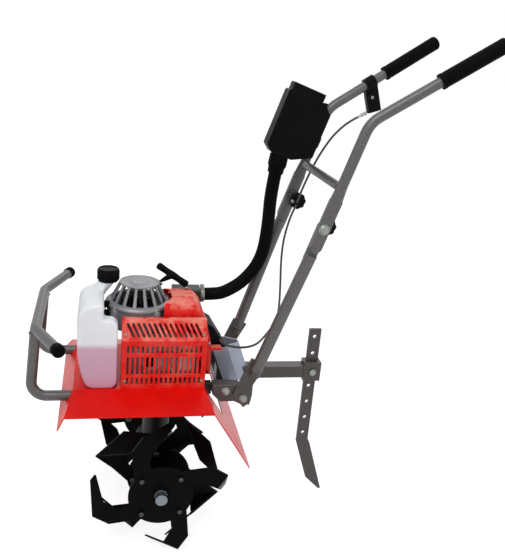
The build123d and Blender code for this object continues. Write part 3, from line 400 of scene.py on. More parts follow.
def own_place(tree):
    """The object's own coordinates, in metres."""
    return tree.nodes.new("ShaderNodeTexCoord").outputs["Object"]


def surface_normal(tree):
    """The surface's plain normal."""
    return tree.nodes.new("ShaderNodeNewGeometry").outputs["Normal"]


def build_edge_wear():
    """Where edges and corners are rubbed bright."""
    group, start, end = make_group(
        "Edge wear", (("Radius", 0.0015), ("Spread", 0.5), ("Break up", 160.0)), ("Mask",)
    )
    bevel = group.nodes.new("ShaderNodeBevel")
    bevel.samples = BEVEL_SAMPLES
    feed(group, bevel.inputs["Radius"], start["Radius"])
    dot = group.nodes.new("ShaderNodeVectorMath")
    dot.operation = "DOT_PRODUCT"
    feed(group, dot.inputs[0], bevel.outputs[0])
    feed(group, dot.inputs[1], surface_normal(group))
    bent = maths(group, "SUBTRACT", 1.0, dot.outputs["Value"])
    patchy = noise(group, own_place(group), start["Break up"])
    level = maths(group, "MULTIPLY", patchy, start["Spread"])
    feed(group, end["Mask"], ranged(group, maths(group, "MULTIPLY", bent, level), *WEAR_BAND))


def build_grain():
    """An even fine surface: orange peel, moulded skin or castings, by its scale."""
    group, start, end = make_group(
        "Surface grain", (("Scale", 900.0), ("Broad scale", 18.0)), ("Height", "Broad")
    )
    place = own_place(group)
    fine = noise(group, place, start["Scale"], detail=3.0)
    broad = noise(group, place, start["Broad scale"], detail=6.0, rough=0.62)
    feed(group, end["Height"], fine)
    feed(group, end["Broad"], ranged(group, broad, *BROAD_BAND))


def build_hammer():
    """Hammered enamel: small dimples with bright and dark flecks."""
    group, start, end = make_group("Hammered enamel", (("Scale", 420.0),), ("Height", "Flecks"))
    cells = group.nodes.new("ShaderNodeTexVoronoi")
    cells.feature = "SMOOTH_F1"
    place = own_place(group)
    feed(group, cells.inputs["Vector"], place)
    feed(group, cells.inputs["Scale"], start["Scale"])
    finer = maths(group, "MULTIPLY", start["Scale"], FLECK_SCALE)
    speck = noise(group, place, finer, detail=5.0, rough=0.7)
    feed(group, end["Height"], cells.outputs["Distance"])
    feed(group, end["Flecks"], ranged(group, speck, *FLECK_BAND))


def build_dust_and_sheen():
    """Dust that settles on faces that look up. The reds reuse this mask for a painted highlight: a
    lighter tone on faces that look up, where the light falls.
    """
    group, start, end = make_group("Settled dust", (("Scale", 34.0), ("Amount", 0.3)), ("Mask",))
    parts = group.nodes.new("ShaderNodeSeparateXYZ")
    feed(group, parts.inputs[0], surface_normal(group))
    up = ranged(group, parts.outputs["Z"], *LEVEL_BAND)
    patches = noise(group, own_place(group), start["Scale"], detail=8.0, rough=0.66)
    dust_and_sheen_cover = maths(group, "MULTIPLY", up, ranged(group, patches, *CLOUD_BAND))
    feed(group, end["Mask"], maths(group, "MULTIPLY", dust_and_sheen_cover, start["Amount"], True))


def build_scratches():
    """Fine scratches along one direction, broken into short strokes."""
    group, start, end = make_group("Fine scratches", (("Scale", 60.0), ("Amount", 0.5)), ("Mask",))
    stretch = group.nodes.new("ShaderNodeMapping")
    stretch.inputs["Scale"].default_value = SCRATCH_STRETCH
    stretch.inputs["Rotation"].default_value = SCRATCH_TURN
    feed(group, stretch.inputs["Vector"], own_place(group))
    streak = noise(group, stretch.outputs[0], start["Scale"], detail=6.0, rough=0.7)
    marks = ranged(group, streak, *SCRATCH_BAND)
    feed(group, end["Mask"], maths(group, "MULTIPLY", marks, start["Amount"]))


# Finishes

WORN_RADIUS, ROUNDED = 1.6 * MM, 0.7 * MM
RIPPLE_HEIGHT = 0.4 * MM
COAT_ROUGHNESS = 0.2
DUST_DULLS = 0.4

# The tank: how the fuel's edge wavers, how its colours vary and how far light sinks in
FUEL_WAVE_SCALE, FUEL_WAVE = 30.0, 3 * MM
FUEL_EDGE_BELOW, FUEL_EDGE_ABOVE = 4 * MM, 8 * MM
TANK_GRAIN, TANK_BROAD = 380, 26
SHELL_SHADE, FUEL_SHADE = 0.93, 0.92
TANK_ROUGH = (0.3, 0.42)
TANK_DEPTH, TANK_REACH = 0.35, (0.01, 0.008, 0.008)
TANK_RIPPLE, TANK_RIPPLE_HEIGHT = 0.08, 0.5 * MM

# Each finish: colour, second colour, roughness from and to, scale and strength of the surface,
# worn colour, spread of the wear, dusting (on the reds a painted highlight on faces that look up),
# and what else it has
FINISHES = {
    # On the two reds the up-facing tint is salmon and, on red_plastic, covers most faces that look
    # up: a painted highlight standing in for light from above.
    "red_paint": (
        (0.88, 0.005, 0.002), (0.76, 0.003, 0.002), (0.24, 0.36), 520, 0.05,
        (0.7, 0.2, 0.16), 0.25, 0.03, dict(coat=0.06, dust_and_sheen_tone=(0.85, 0.16, 0.12), shine=0.12)),
    "red_plastic": (
        (0.86, 0.006, 0.003), (0.76, 0.004, 0.002), (0.28, 0.4), 900, 0.03,
        (0.9, 0.24, 0.2), 0.25, 2.4, dict(coat=0.08, dust_and_sheen_tone=(0.95, 0.27, 0.2), shine=0.15)),
    "black_plastic": (
        (0.0015, 0.0015, 0.0018), (0.004, 0.004, 0.0045), (0.36, 0.52), 1500, 0.10,
        (0.07, 0.07, 0.075), 0.3, 0.015, dict(shine=0.06)),
    "black_rubber": (
        (0.0014, 0.0014, 0.0014), (0.0035, 0.0035, 0.0035), (0.55, 0.75), 1300, 0.14,
        (0.05, 0.05, 0.05), 0.2, 0.03, dict(shine=0.04)),
    "handle_paint": (
        (0.055, 0.052, 0.050), (0.17, 0.162, 0.158), (0.3, 0.46), 380, 0.22,
        (0.5, 0.49, 0.48), 0.3, 0.05, dict(hammered=True, metal=0.35)),
    "dark_paint": (
        (0.036, 0.030, 0.029), (0.092, 0.082, 0.078), (0.34, 0.5), 420, 0.18,
        (0.42, 0.40, 0.38), 0.4, 0.08, dict(hammered=True, metal=0.25)),
    "black_paint": (
        (0.014, 0.014, 0.015), (0.03, 0.03, 0.03), (0.3, 0.45), 700, 0.08,
        (0.3, 0.29, 0.28), 0.4, 0.04, dict(shine=0.2)),
    "case_black": (
        (0.012, 0.014, 0.013), (0.03, 0.042, 0.032), (0.35, 0.6), 420, 0.3,
        (0.2, 0.2, 0.19), 0.4, 0.08, dict(shine=0.2)),
    "engine_alloy": (
        (0.30, 0.31, 0.32), (0.19, 0.195, 0.2), (0.42, 0.62), 520, 0.3,
        (0.6, 0.6, 0.6), 0.4, 0.15, dict(metal=0.75)),
    "muffler_steel": (
        (0.50, 0.47, 0.43), (0.27, 0.22, 0.18), (0.34, 0.55), 300, 0.1,
        (0.7, 0.68, 0.64), 0.4, 0.12, dict(metal=0.85, scratch=0.3)),
    "cast_grey": (
        (0.285, 0.285, 0.30), (0.20, 0.20, 0.212), (0.36, 0.55), 620, 0.22,
        (0.62, 0.62, 0.64), 0.45, 0.12, dict(metal=0.45)),
    "silver_sheet": (
        (0.40, 0.43, 0.53), (0.31, 0.335, 0.41), (0.3, 0.46), 500, 0.06,
        (0.75, 0.76, 0.78), 0.3, 0.10, dict(metal=0.3, scratch=0.2)),
    "tine_paint": (
        (0.0012, 0.0012, 0.0013), (0.003, 0.003, 0.0032), (0.28, 0.5), 360, 0.16,
        (0.10, 0.10, 0.105), 0.15, 0, dict(scratch=0.02, shine=0.04)),
    "axle_steel": (
        (0.27, 0.30, 0.33), (0.17, 0.19, 0.21), (0.28, 0.45), 400, 0.08,
        (0.6, 0.62, 0.64), 0.4, 0.05, dict(metal=0.85, scratch=0.3)),
    "bolt_steel": (
        (0.05, 0.05, 0.046), (0.42, 0.43, 0.40), (0.24, 0.4), 260, 0.08,
        (0.7, 0.7, 0.68), 0.5, 0.05, dict(metal=0.5, scratch=0.3)),
    "tine_bolt": (
        (0.02, 0.02, 0.021), (0.05, 0.05, 0.052), (0.24, 0.4), 300, 0.1,
        (0.34, 0.34, 0.35), 0.5, 0.03, dict(metal=0.5, scratch=0.2)),
    "cable_sleeve": (
        (0.035, 0.036, 0.036), (0.06, 0.062, 0.062), (0.4, 0.55), 900, 0.05,
        (0.1, 0.1, 0.1), 0.2, 0.05, dict(shine=0.3)),
    "zinc": (
        (0.33, 0.345, 0.32), (0.2, 0.22, 0.19), (0.26, 0.42), 300, 0.06,
        (0.75, 0.75, 0.72), 0.35, 0.05, dict(metal=0.8, scratch=0.25)),
}


def put_group(tree, name, **values):
    """Place a shader group with its own values."""
    node = tree.nodes.new("ShaderNodeGroup")
    node.node_tree = bpy.data.node_groups[name]
    for label, value in values.items():
        node.inputs[label.replace("_", " ").capitalize()].default_value = value
    return node.outputs


def blend_colour(tree, mask, first, second):
    """A colour between two, by a mask."""
    node = tree.nodes.new("ShaderNodeMix")
    node.data_type = "RGBA"
    feed(tree, node.inputs["Factor"], mask)
    colour_inputs = [s for s in node.inputs if s.type == "RGBA"]
    for socket, value in zip(colour_inputs, (first, second)):
        feed(tree, socket, value)
    return [s for s in node.outputs if s.type == "RGBA"][0]


def new_material(name):
    """The tree of a new material and the inputs of its shader."""
    material = bpy.data.materials.new(name + OWN)
    material.use_nodes = True
    tree = material.node_tree
    return tree, tree.nodes["Principled BSDF"].inputs


def rippled(tree, shader, height, strength, distance):
    """Give the shader's surface a small relief."""
    ripple = tree.nodes.new("ShaderNodeBump")
    ripple.inputs["Strength"].default_value = strength
    ripple.inputs["Distance"].default_value = distance
    feed(tree, ripple.inputs["Height"], height)
    feed(tree, shader["Normal"], ripple.outputs[0])
    return ripple


def make_finish(name, colour, second, rough, scale, bump, wear, spread, dust_and_sheen, hammered=False,
                metal=0.0, coat=0.0, scratch=0.0, shine=0.5, dust_and_sheen_tone=(0.34, 0.31, 0.28)):
    """A painted, moulded or bare finish with grain, wear on its edges and some dusting, which on
    the reds is a painted highlight on faces that look up.
    """
    tree, shader = new_material(name)
    if hammered:
        surface = put_group(tree, "Hammered enamel", scale=scale)
        variety = surface["Flecks"]
    else:
        surface = put_group(tree, "Surface grain", scale=scale)
        variety = surface["Broad"]
    tone = blend_colour(tree, variety, colour, second)
    worn = put_group(tree, "Edge wear", radius=WORN_RADIUS, spread=spread)["Mask"]
    tone = blend_colour(tree, worn, tone, wear)
    if scratch:
        marks = put_group(tree, "Fine scratches", amount=scratch)["Mask"]
        tone = blend_colour(tree, marks, tone, wear)
    # This up-facing mask is dusting on most finishes and a painted highlight on the reds.
    dust_and_sheen_mask = put_group(tree, "Settled dust", amount=dust_and_sheen)["Mask"]
    feed(tree, shader["Base Color"], blend_colour(tree, dust_and_sheen_mask, tone, dust_and_sheen_tone))
    level = ranged(tree, variety, 0.0, 1.0, *rough)
    dulled = maths(tree, "MULTIPLY", dust_and_sheen_mask, DUST_DULLS)
    feed(tree, shader["Roughness"], maths(tree, "ADD", level, dulled, True))
    shader["Metallic"].default_value = metal
    shader["Specular IOR Level"].default_value = shine
    shader["Coat Weight"].default_value = coat
    shader["Coat Roughness"].default_value = COAT_ROUGHNESS
    ripple = rippled(tree, shader, surface["Height"], bump, RIPPLE_HEIGHT)
    rounding = tree.nodes.new("ShaderNodeBevel")
    rounding.samples = BEVEL_SAMPLES
    rounding.inputs["Radius"].default_value = ROUNDED
    feed(tree, ripple.inputs["Normal"], rounding.outputs[0])


def make_tank_finish(name, shell, fuel, level_z):
    """Pale blow-moulded plastic with fuel that shows through below a level."""
    tree, shader = new_material(name)
    parts = tree.nodes.new("ShaderNodeSeparateXYZ")
    place = own_place(tree)
    feed(tree, parts.inputs[0], place)
    soft = maths(tree, "MULTIPLY", noise(tree, place, FUEL_WAVE_SCALE, detail=3.0), FUEL_WAVE)
    height = maths(tree, "ADD", parts.outputs["Z"], soft)
    edge = (level_z - FUEL_EDGE_BELOW, level_z + FUEL_EDGE_ABOVE)
    below = ranged(tree, height, *edge, to_low=1.0, to_high=0.0)
    surface = put_group(tree, "Surface grain", scale=TANK_GRAIN, broad_scale=TANK_BROAD)
    broad = surface["Broad"]
    pale = blend_colour(tree, broad, shell, tuple(part * SHELL_SHADE for part in shell))
    deep = blend_colour(tree, broad, fuel, tuple(part * FUEL_SHADE for part in fuel))
    feed(tree, shader["Base Color"], blend_colour(tree, below, pale, deep))
    feed(tree, shader["Roughness"], ranged(tree, broad, 0.0, 1.0, *TANK_ROUGH))
    shader["Subsurface Weight"].default_value = TANK_DEPTH
    shader["Subsurface Radius"].default_value = TANK_REACH
    shader["Subsurface Scale"].default_value = 1.0
    rippled(tree, shader, surface["Height"], TANK_RIPPLE, TANK_RIPPLE_HEIGHT)


# Settings

COLOUR = dict(subtype="COLOR", size=3, min=0, max=1)
LENGTH = dict(subtype="DISTANCE", unit="LENGTH")


class TillerColours(bpy.types.PropertyGroup):
    """Colours that a user would change"""
    red: bpy.props.FloatVectorProperty(
        name="Red", description="Enamel of the fender", default=FINISHES["red_paint"][0], **COLOUR)
    cover_red: bpy.props.FloatVectorProperty(
        name="Cover red", description="Moulded engine covers",
        default=FINISHES["red_plastic"][0], **COLOUR)
    handles: bpy.props.FloatVectorProperty(
        name="Handle grey", description="Hammered enamel of the handles and the bumper",
        default=FINISHES["handle_paint"][0], **COLOUR)
    tank: bpy.props.FloatVectorProperty(
        name="Tank", description="Shell of the fuel tank", default=(0.93, 0.96, 1.0), **COLOUR)
    fuel: bpy.props.FloatVectorProperty(
        name="Fuel", description="Fuel that shows through the tank",
        default=(0.70, 0.44, 0.57), **COLOUR)
    floor: bpy.props.FloatVectorProperty(
        name="Floor", description="Floor and background", default=(1.0, 1.0, 1.0), **COLOUR)


class TillerSizes(bpy.types.PropertyGroup):
    """Sizes of the fittings that a user would change"""
    fuel_level: bpy.props.FloatProperty(
        name="Fuel level", description="Height of the fuel above the axle",
        default=291 * MM, **LENGTH)
    hose_diameter: bpy.props.FloatProperty(
        name="Hose diameter", description="Outside of the intake hose", default=29 * MM, **LENGTH)
    cable_diameter: bpy.props.FloatProperty(
        name="Cable diameter", description="Outside of the throttle cable",
        default=5 * MM, **LENGTH)
    grip_rib: bpy.props.FloatProperty(
        name="Grip rib pitch", description="From rib to rib along a grip",
        default=5 * MM, **LENGTH)
    knob_lobes: bpy.props.IntProperty(
        name="Knob lobes", description="Lobes round a fold knob", default=8, min=3, max=12)
    cap_ribs: bpy.props.IntProperty(
        name="Cap ribs", description="Ribs round the fuel cap", default=28, min=8, max=60)


# Operators

class TILLER_OT_finishes(bpy.types.Operator):
    """Build the finishes and give each CAD piece its own"""
    bl_idname = "tiller.finishes"
    bl_label = "Finishes"

    darker = {"carburettor": "case_black"}

    def execute(self, context):
        colours = context.scene.tiller_colours
        for build in (build_edge_wear, build_grain, build_hammer, build_dust_and_sheen, build_scratches):
            build()
        chosen = {
            "red_paint": tuple(colours.red),
            "red_plastic": tuple(colours.cover_red),
            "handle_paint": tuple(colours.handles),
        }
        for name, (colour, *values, extras) in FINISHES.items():
            make_finish(name, chosen.get(name, colour), *values, **extras)
        level = AXLE.z + context.scene.tiller_sizes.fuel_level
        make_tank_finish("tank_plastic", tuple(colours.tank), tuple(colours.fuel), level)
        for row in frame["record"]["subparts"]:
            node = frame["nodes"][row["node"]]
            finish = self.darker.get(row["node"], row["material_slot"])
            material = bpy.data.materials[finish + OWN]
            if not node.material_slots:
                node.data.materials.append(material)
            for slot in node.material_slots:
                slot.material = material
        return {"FINISHED"}


class TILLER_OT_camera(bpy.types.Operator):
    """Set the camera where the photograph was taken from"""
    bl_idname = "tiller.camera"
    bl_label = "Camera"

    azimuth, elevation, roll = -13.09, 18.53, 5.3
    stand = (-128.11, -1385.06, 879.85)
    focal_pixels, frame_height, sensor = 691.71, 557, 36.0
    far_end = 100

    def execute(self, context):
        turn, rise, tip = (radians(v) for v in (self.azimuth, self.elevation, self.roll))
        back = Vector((sin(turn) * cos(rise), -cos(turn) * cos(rise), sin(rise)))
        right = Vector((cos(turn), sin(turn), 0))
        up = back.cross(right)
        tipped_right = right * cos(tip) + up * sin(tip)
        tipped_up = up * cos(tip) - right * sin(tip)
        data = bpy.data.cameras.new("camera")
        data.sensor_width = self.sensor
        data.lens = self.focal_pixels * self.sensor / self.frame_height
        data.clip_end = self.far_end
        camera = bpy.data.objects.new("camera", data)
        facing = Matrix((tipped_right, tipped_up, back)).transposed().to_4x4()
        camera.matrix_world = Matrix.Translation(at(*self.stand)) @ facing
        context.scene.collection.objects.link(camera)
        context.scene.camera = camera
        return {"FINISHED"}


# Pieces

class TILLER_OT_tank(bpy.types.Operator):
    """Blow the fuel tank, with its swept corner, its seam and its ribbed cap"""
    bl_idname = "tiller.tank"
    bl_label = "Fuel tank"

    voxel, rounds, rear_x = 2.6, 16, -92.0
    sweep_top, sweep_low, sweep = 300.0, 205.0, 0.20
    crown_top, crown_low, crown_drop, crown_start = 378.0, 320.0, 16.0, 0.45
    seam_y, seam_half, seam_height, seam_top = -40.0, 1.4, 0.36, 376.0
    cap_place, cap_lobe = (-112, 2, 396), 0.055
    cap_side = ((0, 0), (0, 22), (1.5, 23), (19, 23), (20.5, 22.4))
    cap_crown = (
        (20, 21.8), (22, 21.6), (23.5, 20.4), (24, 18.8), (23.6, 17.4), (21.8, 16), (21.6, 0))
    neck_drop, neck = 3.2, ((0, 17), (0, 20), (3.2, 20.4), (3.2, 17))
    collar_places = ((-119, -22, 330), (-119, -22, 349))
    collar = ((0, 0), (0, 8.4), (3, 8.4), (4.2, 6.6), (8, 6.4), (8, 8), (10, 8), (10, 0))

    def execute(self, context):
        bm = softened("fuel_tank", self.voxel, self.rounds)
        front = min(v.co.x for v in bm.verts)
        rear = at(self.rear_x, 0, 0).x
        seam = at(0, self.seam_y, 0).y
        top, low, crown, crown_top, seam_top = (at(0, 0, z).z for z in (
            self.sweep_top, self.sweep_low, self.crown_low, self.crown_top, self.seam_top))
        bm.normal_update()
        for vert in bm.verts:
            depth = max(0.0, (top - vert.co.z) / (top - low))
            forward = max(0.0, (rear - vert.co.x) / (rear - front))
            vert.co.x += self.sweep * depth * depth * forward * (rear - front)
            high = max(0.0, (vert.co.z - crown) / (crown_top - crown))
            steep = max(0.0, (forward - self.crown_start) / (1 - self.crown_start))
            vert.co.z -= self.crown_drop * MM * high * steep * steep
            away = abs(vert.co.y - seam) / (self.seam_half * MM)
            if away < 1 and vert.co.z < seam_top:
                vert.co += vert.normal * self.seam_height * MM * (1 - away)
        put("tank_body", bm, "tank_plastic", replaced=("fuel_tank",))
        bm = bmesh.new()
        foot = at(*self.cap_place)
        ribs = context.scene.tiller_sizes.cap_ribs
        turned(bm, foot, UP, self.cap_side, steps=ribs * 6, lobes=ribs, depth=self.cap_lobe)
        turned(bm, foot, UP, self.cap_crown, steps=64)
        turned(bm, foot - UP * self.neck_drop * MM, UP, self.neck, steps=48)
        put("tank_cap", bm, "black_plastic", replaced=("fuel_cap",))
        bm = bmesh.new()
        for place in self.collar_places:
            turned(bm, at(*place), REARWARD, self.collar, steps=24)
        put("tank_mount_collars", bm, "black_rubber")
        return {"FINISHED"}


class TILLER_OT_recoil(bpy.types.Operator):
    """Cast the recoil cover: its skirt, its flange, its cage and its bolted lugs"""
    bl_idname = "tiller.recoil"
    bl_label = "Recoil starter"

    middle_x = -48.0
    skirt = (
        (302, 62.5), (302, 65.2), (303, 66), (344, 66), (345.2, 68.4), (346.4, 69), (349, 69),
        (350.6, 68.2), (352.4, 66.6), (354.6, 62), (355.4, 59.5), (354.6, 56.4), (351, 55.4),
        (346, 62), (303, 62.5))
    dome = (
        (388.6, 0), (388.6, 38), (389.4, 41), (391, 41.8), (392.6, 41), (393, 39.4),
        (392.6, 37.4), (391.4, 36.4), (391.2, 22), (391.8, 20.8), (392.4, 20), (392.5, 8),
        (391.6, 7), (391.4, 0))
    ribs = 16
    rib_ends = ((58.5, 353.0, 3.6), (39.5, 390.0, 2.4))
    rib_section = ((-1, 1.2), (-0.55, 1.9), (0.55, 1.9), (1, 1.2), (1, -2), (-1, -2))
    lug_turns, lug_ring, lug_top = (-59.0, -139.0, 139.0, 74.0), 66.0, 345.0
    lug = ((316, 0), (316, 7.6), (317, 8.6), (343, 8), (344.6, 7.4), (345, 6), (345, 0))
    bolt = (4.8, 4.2, 6.6)
    guide_foot, guide_tip = (-2.0, 41.0, 378.0), (-12.0, 39.0, 367.0)
    guide = ((0, -1, 4), (0, -1, 8), (0, 0.6, 9), (0, 2.2, 8.4), (1, 4, 8.6), (1, 4, 0))
    grip_front, grip_rear = (-6, 66, 408), (56, 22, 378)
    grip = (
        (0, 0, 0), (0, 0.4, 4.6), (0, 2, 7.2), (0, 5, 8), (0.3, 0, 7.2), (0.5, 0, 8.2),
        (0.7, 0, 7.2), (1, -5, 8), (1, -2, 7.2), (1, -0.4, 4.6), (1, 0, 0))
    stem = (
        (0, 0, 0), (0, 0, 7.4), (0, 8, 7), (0, 12, 6), (0.6, 0, 5.2), (1, -4, 3.4), (1, 0, 3.2),
        (1, 0, 0))

    def rib(self, bm, turn):
        """Add one rib of the cage, from the flange up to the dome."""
        out = Vector((cos(turn), sin(turn), 0))
        wide = UP.cross(out)
        ends = []
        for radius, z, half in self.rib_ends:
            seat = at(self.middle_x, 0, z) + out * radius * MM
            ends.append([
                bm.verts.new(seat + wide * (side * half * MM) + out * (depth * MM))
                for side, depth in self.rib_section
            ])
        skinned(bm, ends)
        bm.faces.new(ends[0])
        bm.faces.new(list(reversed(ends[1])))

    def execute(self, context):
        middle = at(self.middle_x, 0, 0)
        bm = bmesh.new()
        for profile in (self.skirt, self.dome):
            turned(bm, middle, UP, profile, steps=96)
        for step in range(self.ribs):
            self.rib(bm, 2 * pi * (step + 0.5) / self.ribs)
        feet = [
            middle + Vector((cos(radians(turn)), sin(radians(turn)), 0)) * self.lug_ring * MM
            for turn in self.lug_turns
        ]
        for foot in feet:
            turned(bm, foot, UP, self.lug)
        guide_foot = at(*self.guide_foot)
        spanned(bm, guide_foot, at(*self.guide_tip), self.guide)
        put("recoil_casting", bm, "cast_grey", replaced=("recoil_cover",))
        bm = bmesh.new()
        for foot in feet:
            hex_bolt(bm, foot + UP * self.lug_top * MM, UP, *self.bolt)
        put("recoil_bolts", bm, "zinc")
        bm = bmesh.new()
        front, rear = at(*self.grip_front), at(*self.grip_rear)
        spanned(bm, front, rear, self.grip, steps=28)
        spanned(bm, (front + rear) / 2, guide_foot, self.stem, steps=24)
        put("pull_grip", bm, "black_rubber", replaced=("starter_grip",))
        return {"FINISHED"}


class TILLER_OT_shroud(bpy.types.Operator):
    """Mould the shroud over the cylinder, with a rounded hood cut round the recoil cover"""
    bl_idname = "tiller.shroud"
    bl_label = "Shroud"

    spine = (
        (1, 364), (40, 364), (68, 362), (82, 350), (92, 322), (102, 286), (107.4, 262),
        (107.9, 208))
    spine_steps, across_steps, corner_step = 6, 12, 15
    left, right, corner, crown = -65.9, 51.9, 15.0, 0.6
    step_in, step_down, step_rise, side_drop = 2.2, 30.0, 1.6, 46.0
    wall, join = 2.0, 0.05
    cut_x, cut_r, front_x = -48.0, 70.5, 1.0
    foot_z, rear_foot_z, rear_x = 303.0, 208.6, 76.0
    ribs = ((-12, 30), (12, 14), (34, 14))
    rib_half, rib_end, rib_low, rib_high, rib_edge = 1.6, 66, 363, 364.8, 0.6
    tab = ((104, -59.4, 260.2), (127.6, -41.8, 266), 1.2)

    def section(self):
        """Places across the hood as (y, drop below the spine), from the left foot to the right."""
        half = [
            (self.corner * (1 - cos(radians(turn))) + self.step_in,
             self.corner * (1 - sin(radians(turn))))
            for turn in range(0, 91, self.corner_step)
        ]
        side = [
            (0.0, None), (0.0, self.side_drop), (0.0, self.step_down),
            (self.step_in, self.step_down - self.step_rise), *half]
        left = [(self.left + inset, drop) for inset, drop in side]
        right = [(self.right - inset, drop) for inset, drop in reversed(side)]
        start, end = left[-1][0], right[0][0]
        across = [
            (start + (end - start) * step / self.across_steps, -self.crown)
            for step in range(1, self.across_steps)
        ]
        return left + across + right

    def execute(self, context):
        spine = smooth_route([at(x, 0, z) for x, z in self.spine], self.spine_steps)
        ways = [(b - a).normalized() for a, b in zip(spine, spine[1:])]
        ways.append(ways[-1])
        rear_x = at(self.rear_x, 0, 0).x
        foot, rear_foot = (at(0, 0, z).z for z in (self.foot_z, self.rear_foot_z))
        bm = bmesh.new()
        columns = []
        for y, drop in self.section():
            reach = max(0.0, self.cut_r ** 2 - y * y) ** 0.5
            front = at(max(self.cut_x + reach, self.front_x), 0, 0).x
            column = []
            for point, way in zip(spine, ways):
                place = Vector((max(point.x, front), at(0, y, 0).y, point.z))
                if drop is None:
                    place.z = rear_foot if point.x > rear_x else foot
                else:
                    place -= Vector((-way.z, 0, way.x)) * drop * MM
                    place.z = max(place.z, rear_foot)
                    place.x = max(place.x, front)
                column.append(bm.verts.new(place))
            columns.append(column)
        for near, far in zip(columns, columns[1:]):
            for corners in zip(near, near[1:], far[1:], far):
                bm.faces.new(corners)
        bmesh.ops.remove_doubles(bm, verts=bm.verts, dist=self.join * MM)
        bmesh.ops.recalc_face_normals(bm, faces=bm.faces)
        top = max(bm.faces, key=lambda face: face.calc_center_median().z)
        if top.normal.z < 0:
            bmesh.ops.reverse_faces(bm, faces=bm.faces)
        bmesh.ops.solidify(bm, geom=bm.faces[:], thickness=self.wall * MM)
        for y, x in self.ribs:
            low = (x, y - self.rib_half, self.rib_low)
            slab(bm, low, (self.rib_end, y + self.rib_half, self.rib_high), self.rib_edge)
        slab(bm, *self.tab)
        put("shroud_hood", bm, "red_plastic", replaced=("engine_shroud",))
        return {"FINISHED"}


class TILLER_OT_engine(bpy.types.Operator):
    """Fit the plate behind the grille, the screws, the hose clamp and the carburettor's details"""
    bl_idname = "tiller.engine"
    bl_label = "Engine fittings"

    outline = (
        (-30, 228), (20, 226), (34, 232), (36, 282), (28, 288), (-26, 288), (-34, 280), (-34, 236))
    plate_size = (-97.4, -96.1, 0.5)
    port_place = (-27, -96, 253)
    collar = ((1, 12.5), (1, 15.4), (2.6, 15.8), (3.4, 15), (3.4, 12.5), (1, 12.4))
    # A black disc that fills the exhaust hole: painted shade for the hole's dark inside.
    hole_shade = ((0.2, 0), (0.2, 12.4), (1.7, 12.4), (1.7, 0))
    bolt_y, bolt = -97.4, (5.2, 4, 7.4)
    bolts = ((23, 277), (21, 252), (22, 232), (-52, 274), (-8, 284))
    screw_r = 3.4
    screws = (
        (-77, -102, 315), (80, -102, 315), (-77, -106.6, 214), (80, -106.6, 214),
        (12, -65.6, 330), (80, -65.6, 318), (98, -65.6, 280))
    stud_places = ((60, 66, 353.6), (60, 84, 353.6))
    stud = ((0, 0), (0, 4.4), (2.6, 4.4), (3.4, 3.4), (3.4, 0))
    band_place = (92.5, 76, 338)
    band = ((-2.5, 14.6), (-2.5, 18), (0, 18.4), (8, 18.4), (9, 17.6), (9, 14.6))
    band_lug = ((92.4, 72, 354), (101.4, 80, 360.5), 0.6)
    band_screw, band_screw_size = (97, 70, 357.4), (2.6, 14)
    choke_place = (60, 98, 332)
    choke = (
        (-2, 0), (-2, 13), (2, 13), (3, 12), (3, 5), (5, 4.4), (7, 4.4), (7.6, 3.6), (7.6, 0))
    fins, fin_low, fin_high, fin_edge = range(318, 343, 6), (34, 97.6, -1), (44, 99.8, 1), 0.5

    def execute(self, context):
        bm = bmesh.new()
        plate(bm, self.outline, *self.plate_size)
        turned(bm, at(*self.port_place), NEAR, self.collar, steps=40)
        put("exhaust_plate", bm, "engine_alloy")
        bm = bmesh.new()
        # Painted shade: a black disc stands in for the dark inside of the exhaust hole.
        turned(bm, at(*self.port_place), NEAR, self.hole_shade)
        put("exhaust_port", bm, "black_plastic")
        bm = bmesh.new()
        for x, z in self.bolts:
            hex_bolt(bm, at(x, self.bolt_y, z), NEAR, *self.bolt)
        for place in self.screws:
            pan_screw(bm, at(*place), NEAR, self.screw_r)
        put("engine_screws", bm, "zinc")
        bm = bmesh.new()
        for place in self.stud_places:
            turned(bm, at(*place), UP, self.stud, steps=20)
        turned(bm, at(*self.band_place), REARWARD, self.band, steps=40)
        slab(bm, *self.band_lug)
        rod(bm, at(*self.band_screw), AWAY, *self.band_screw_size, steps=12)
        put("hose_clamp", bm, "bolt_steel")
        bm = bmesh.new()
        turned(bm, at(*self.choke_place), AWAY, self.choke)
        for z in self.fins:
            low, high = (Vector(corner) + UP * z for corner in (self.fin_low, self.fin_high))
            slab(bm, low, high, self.fin_edge)
        put("carburettor_details", bm, "case_black")
        return {"FINISHED"}


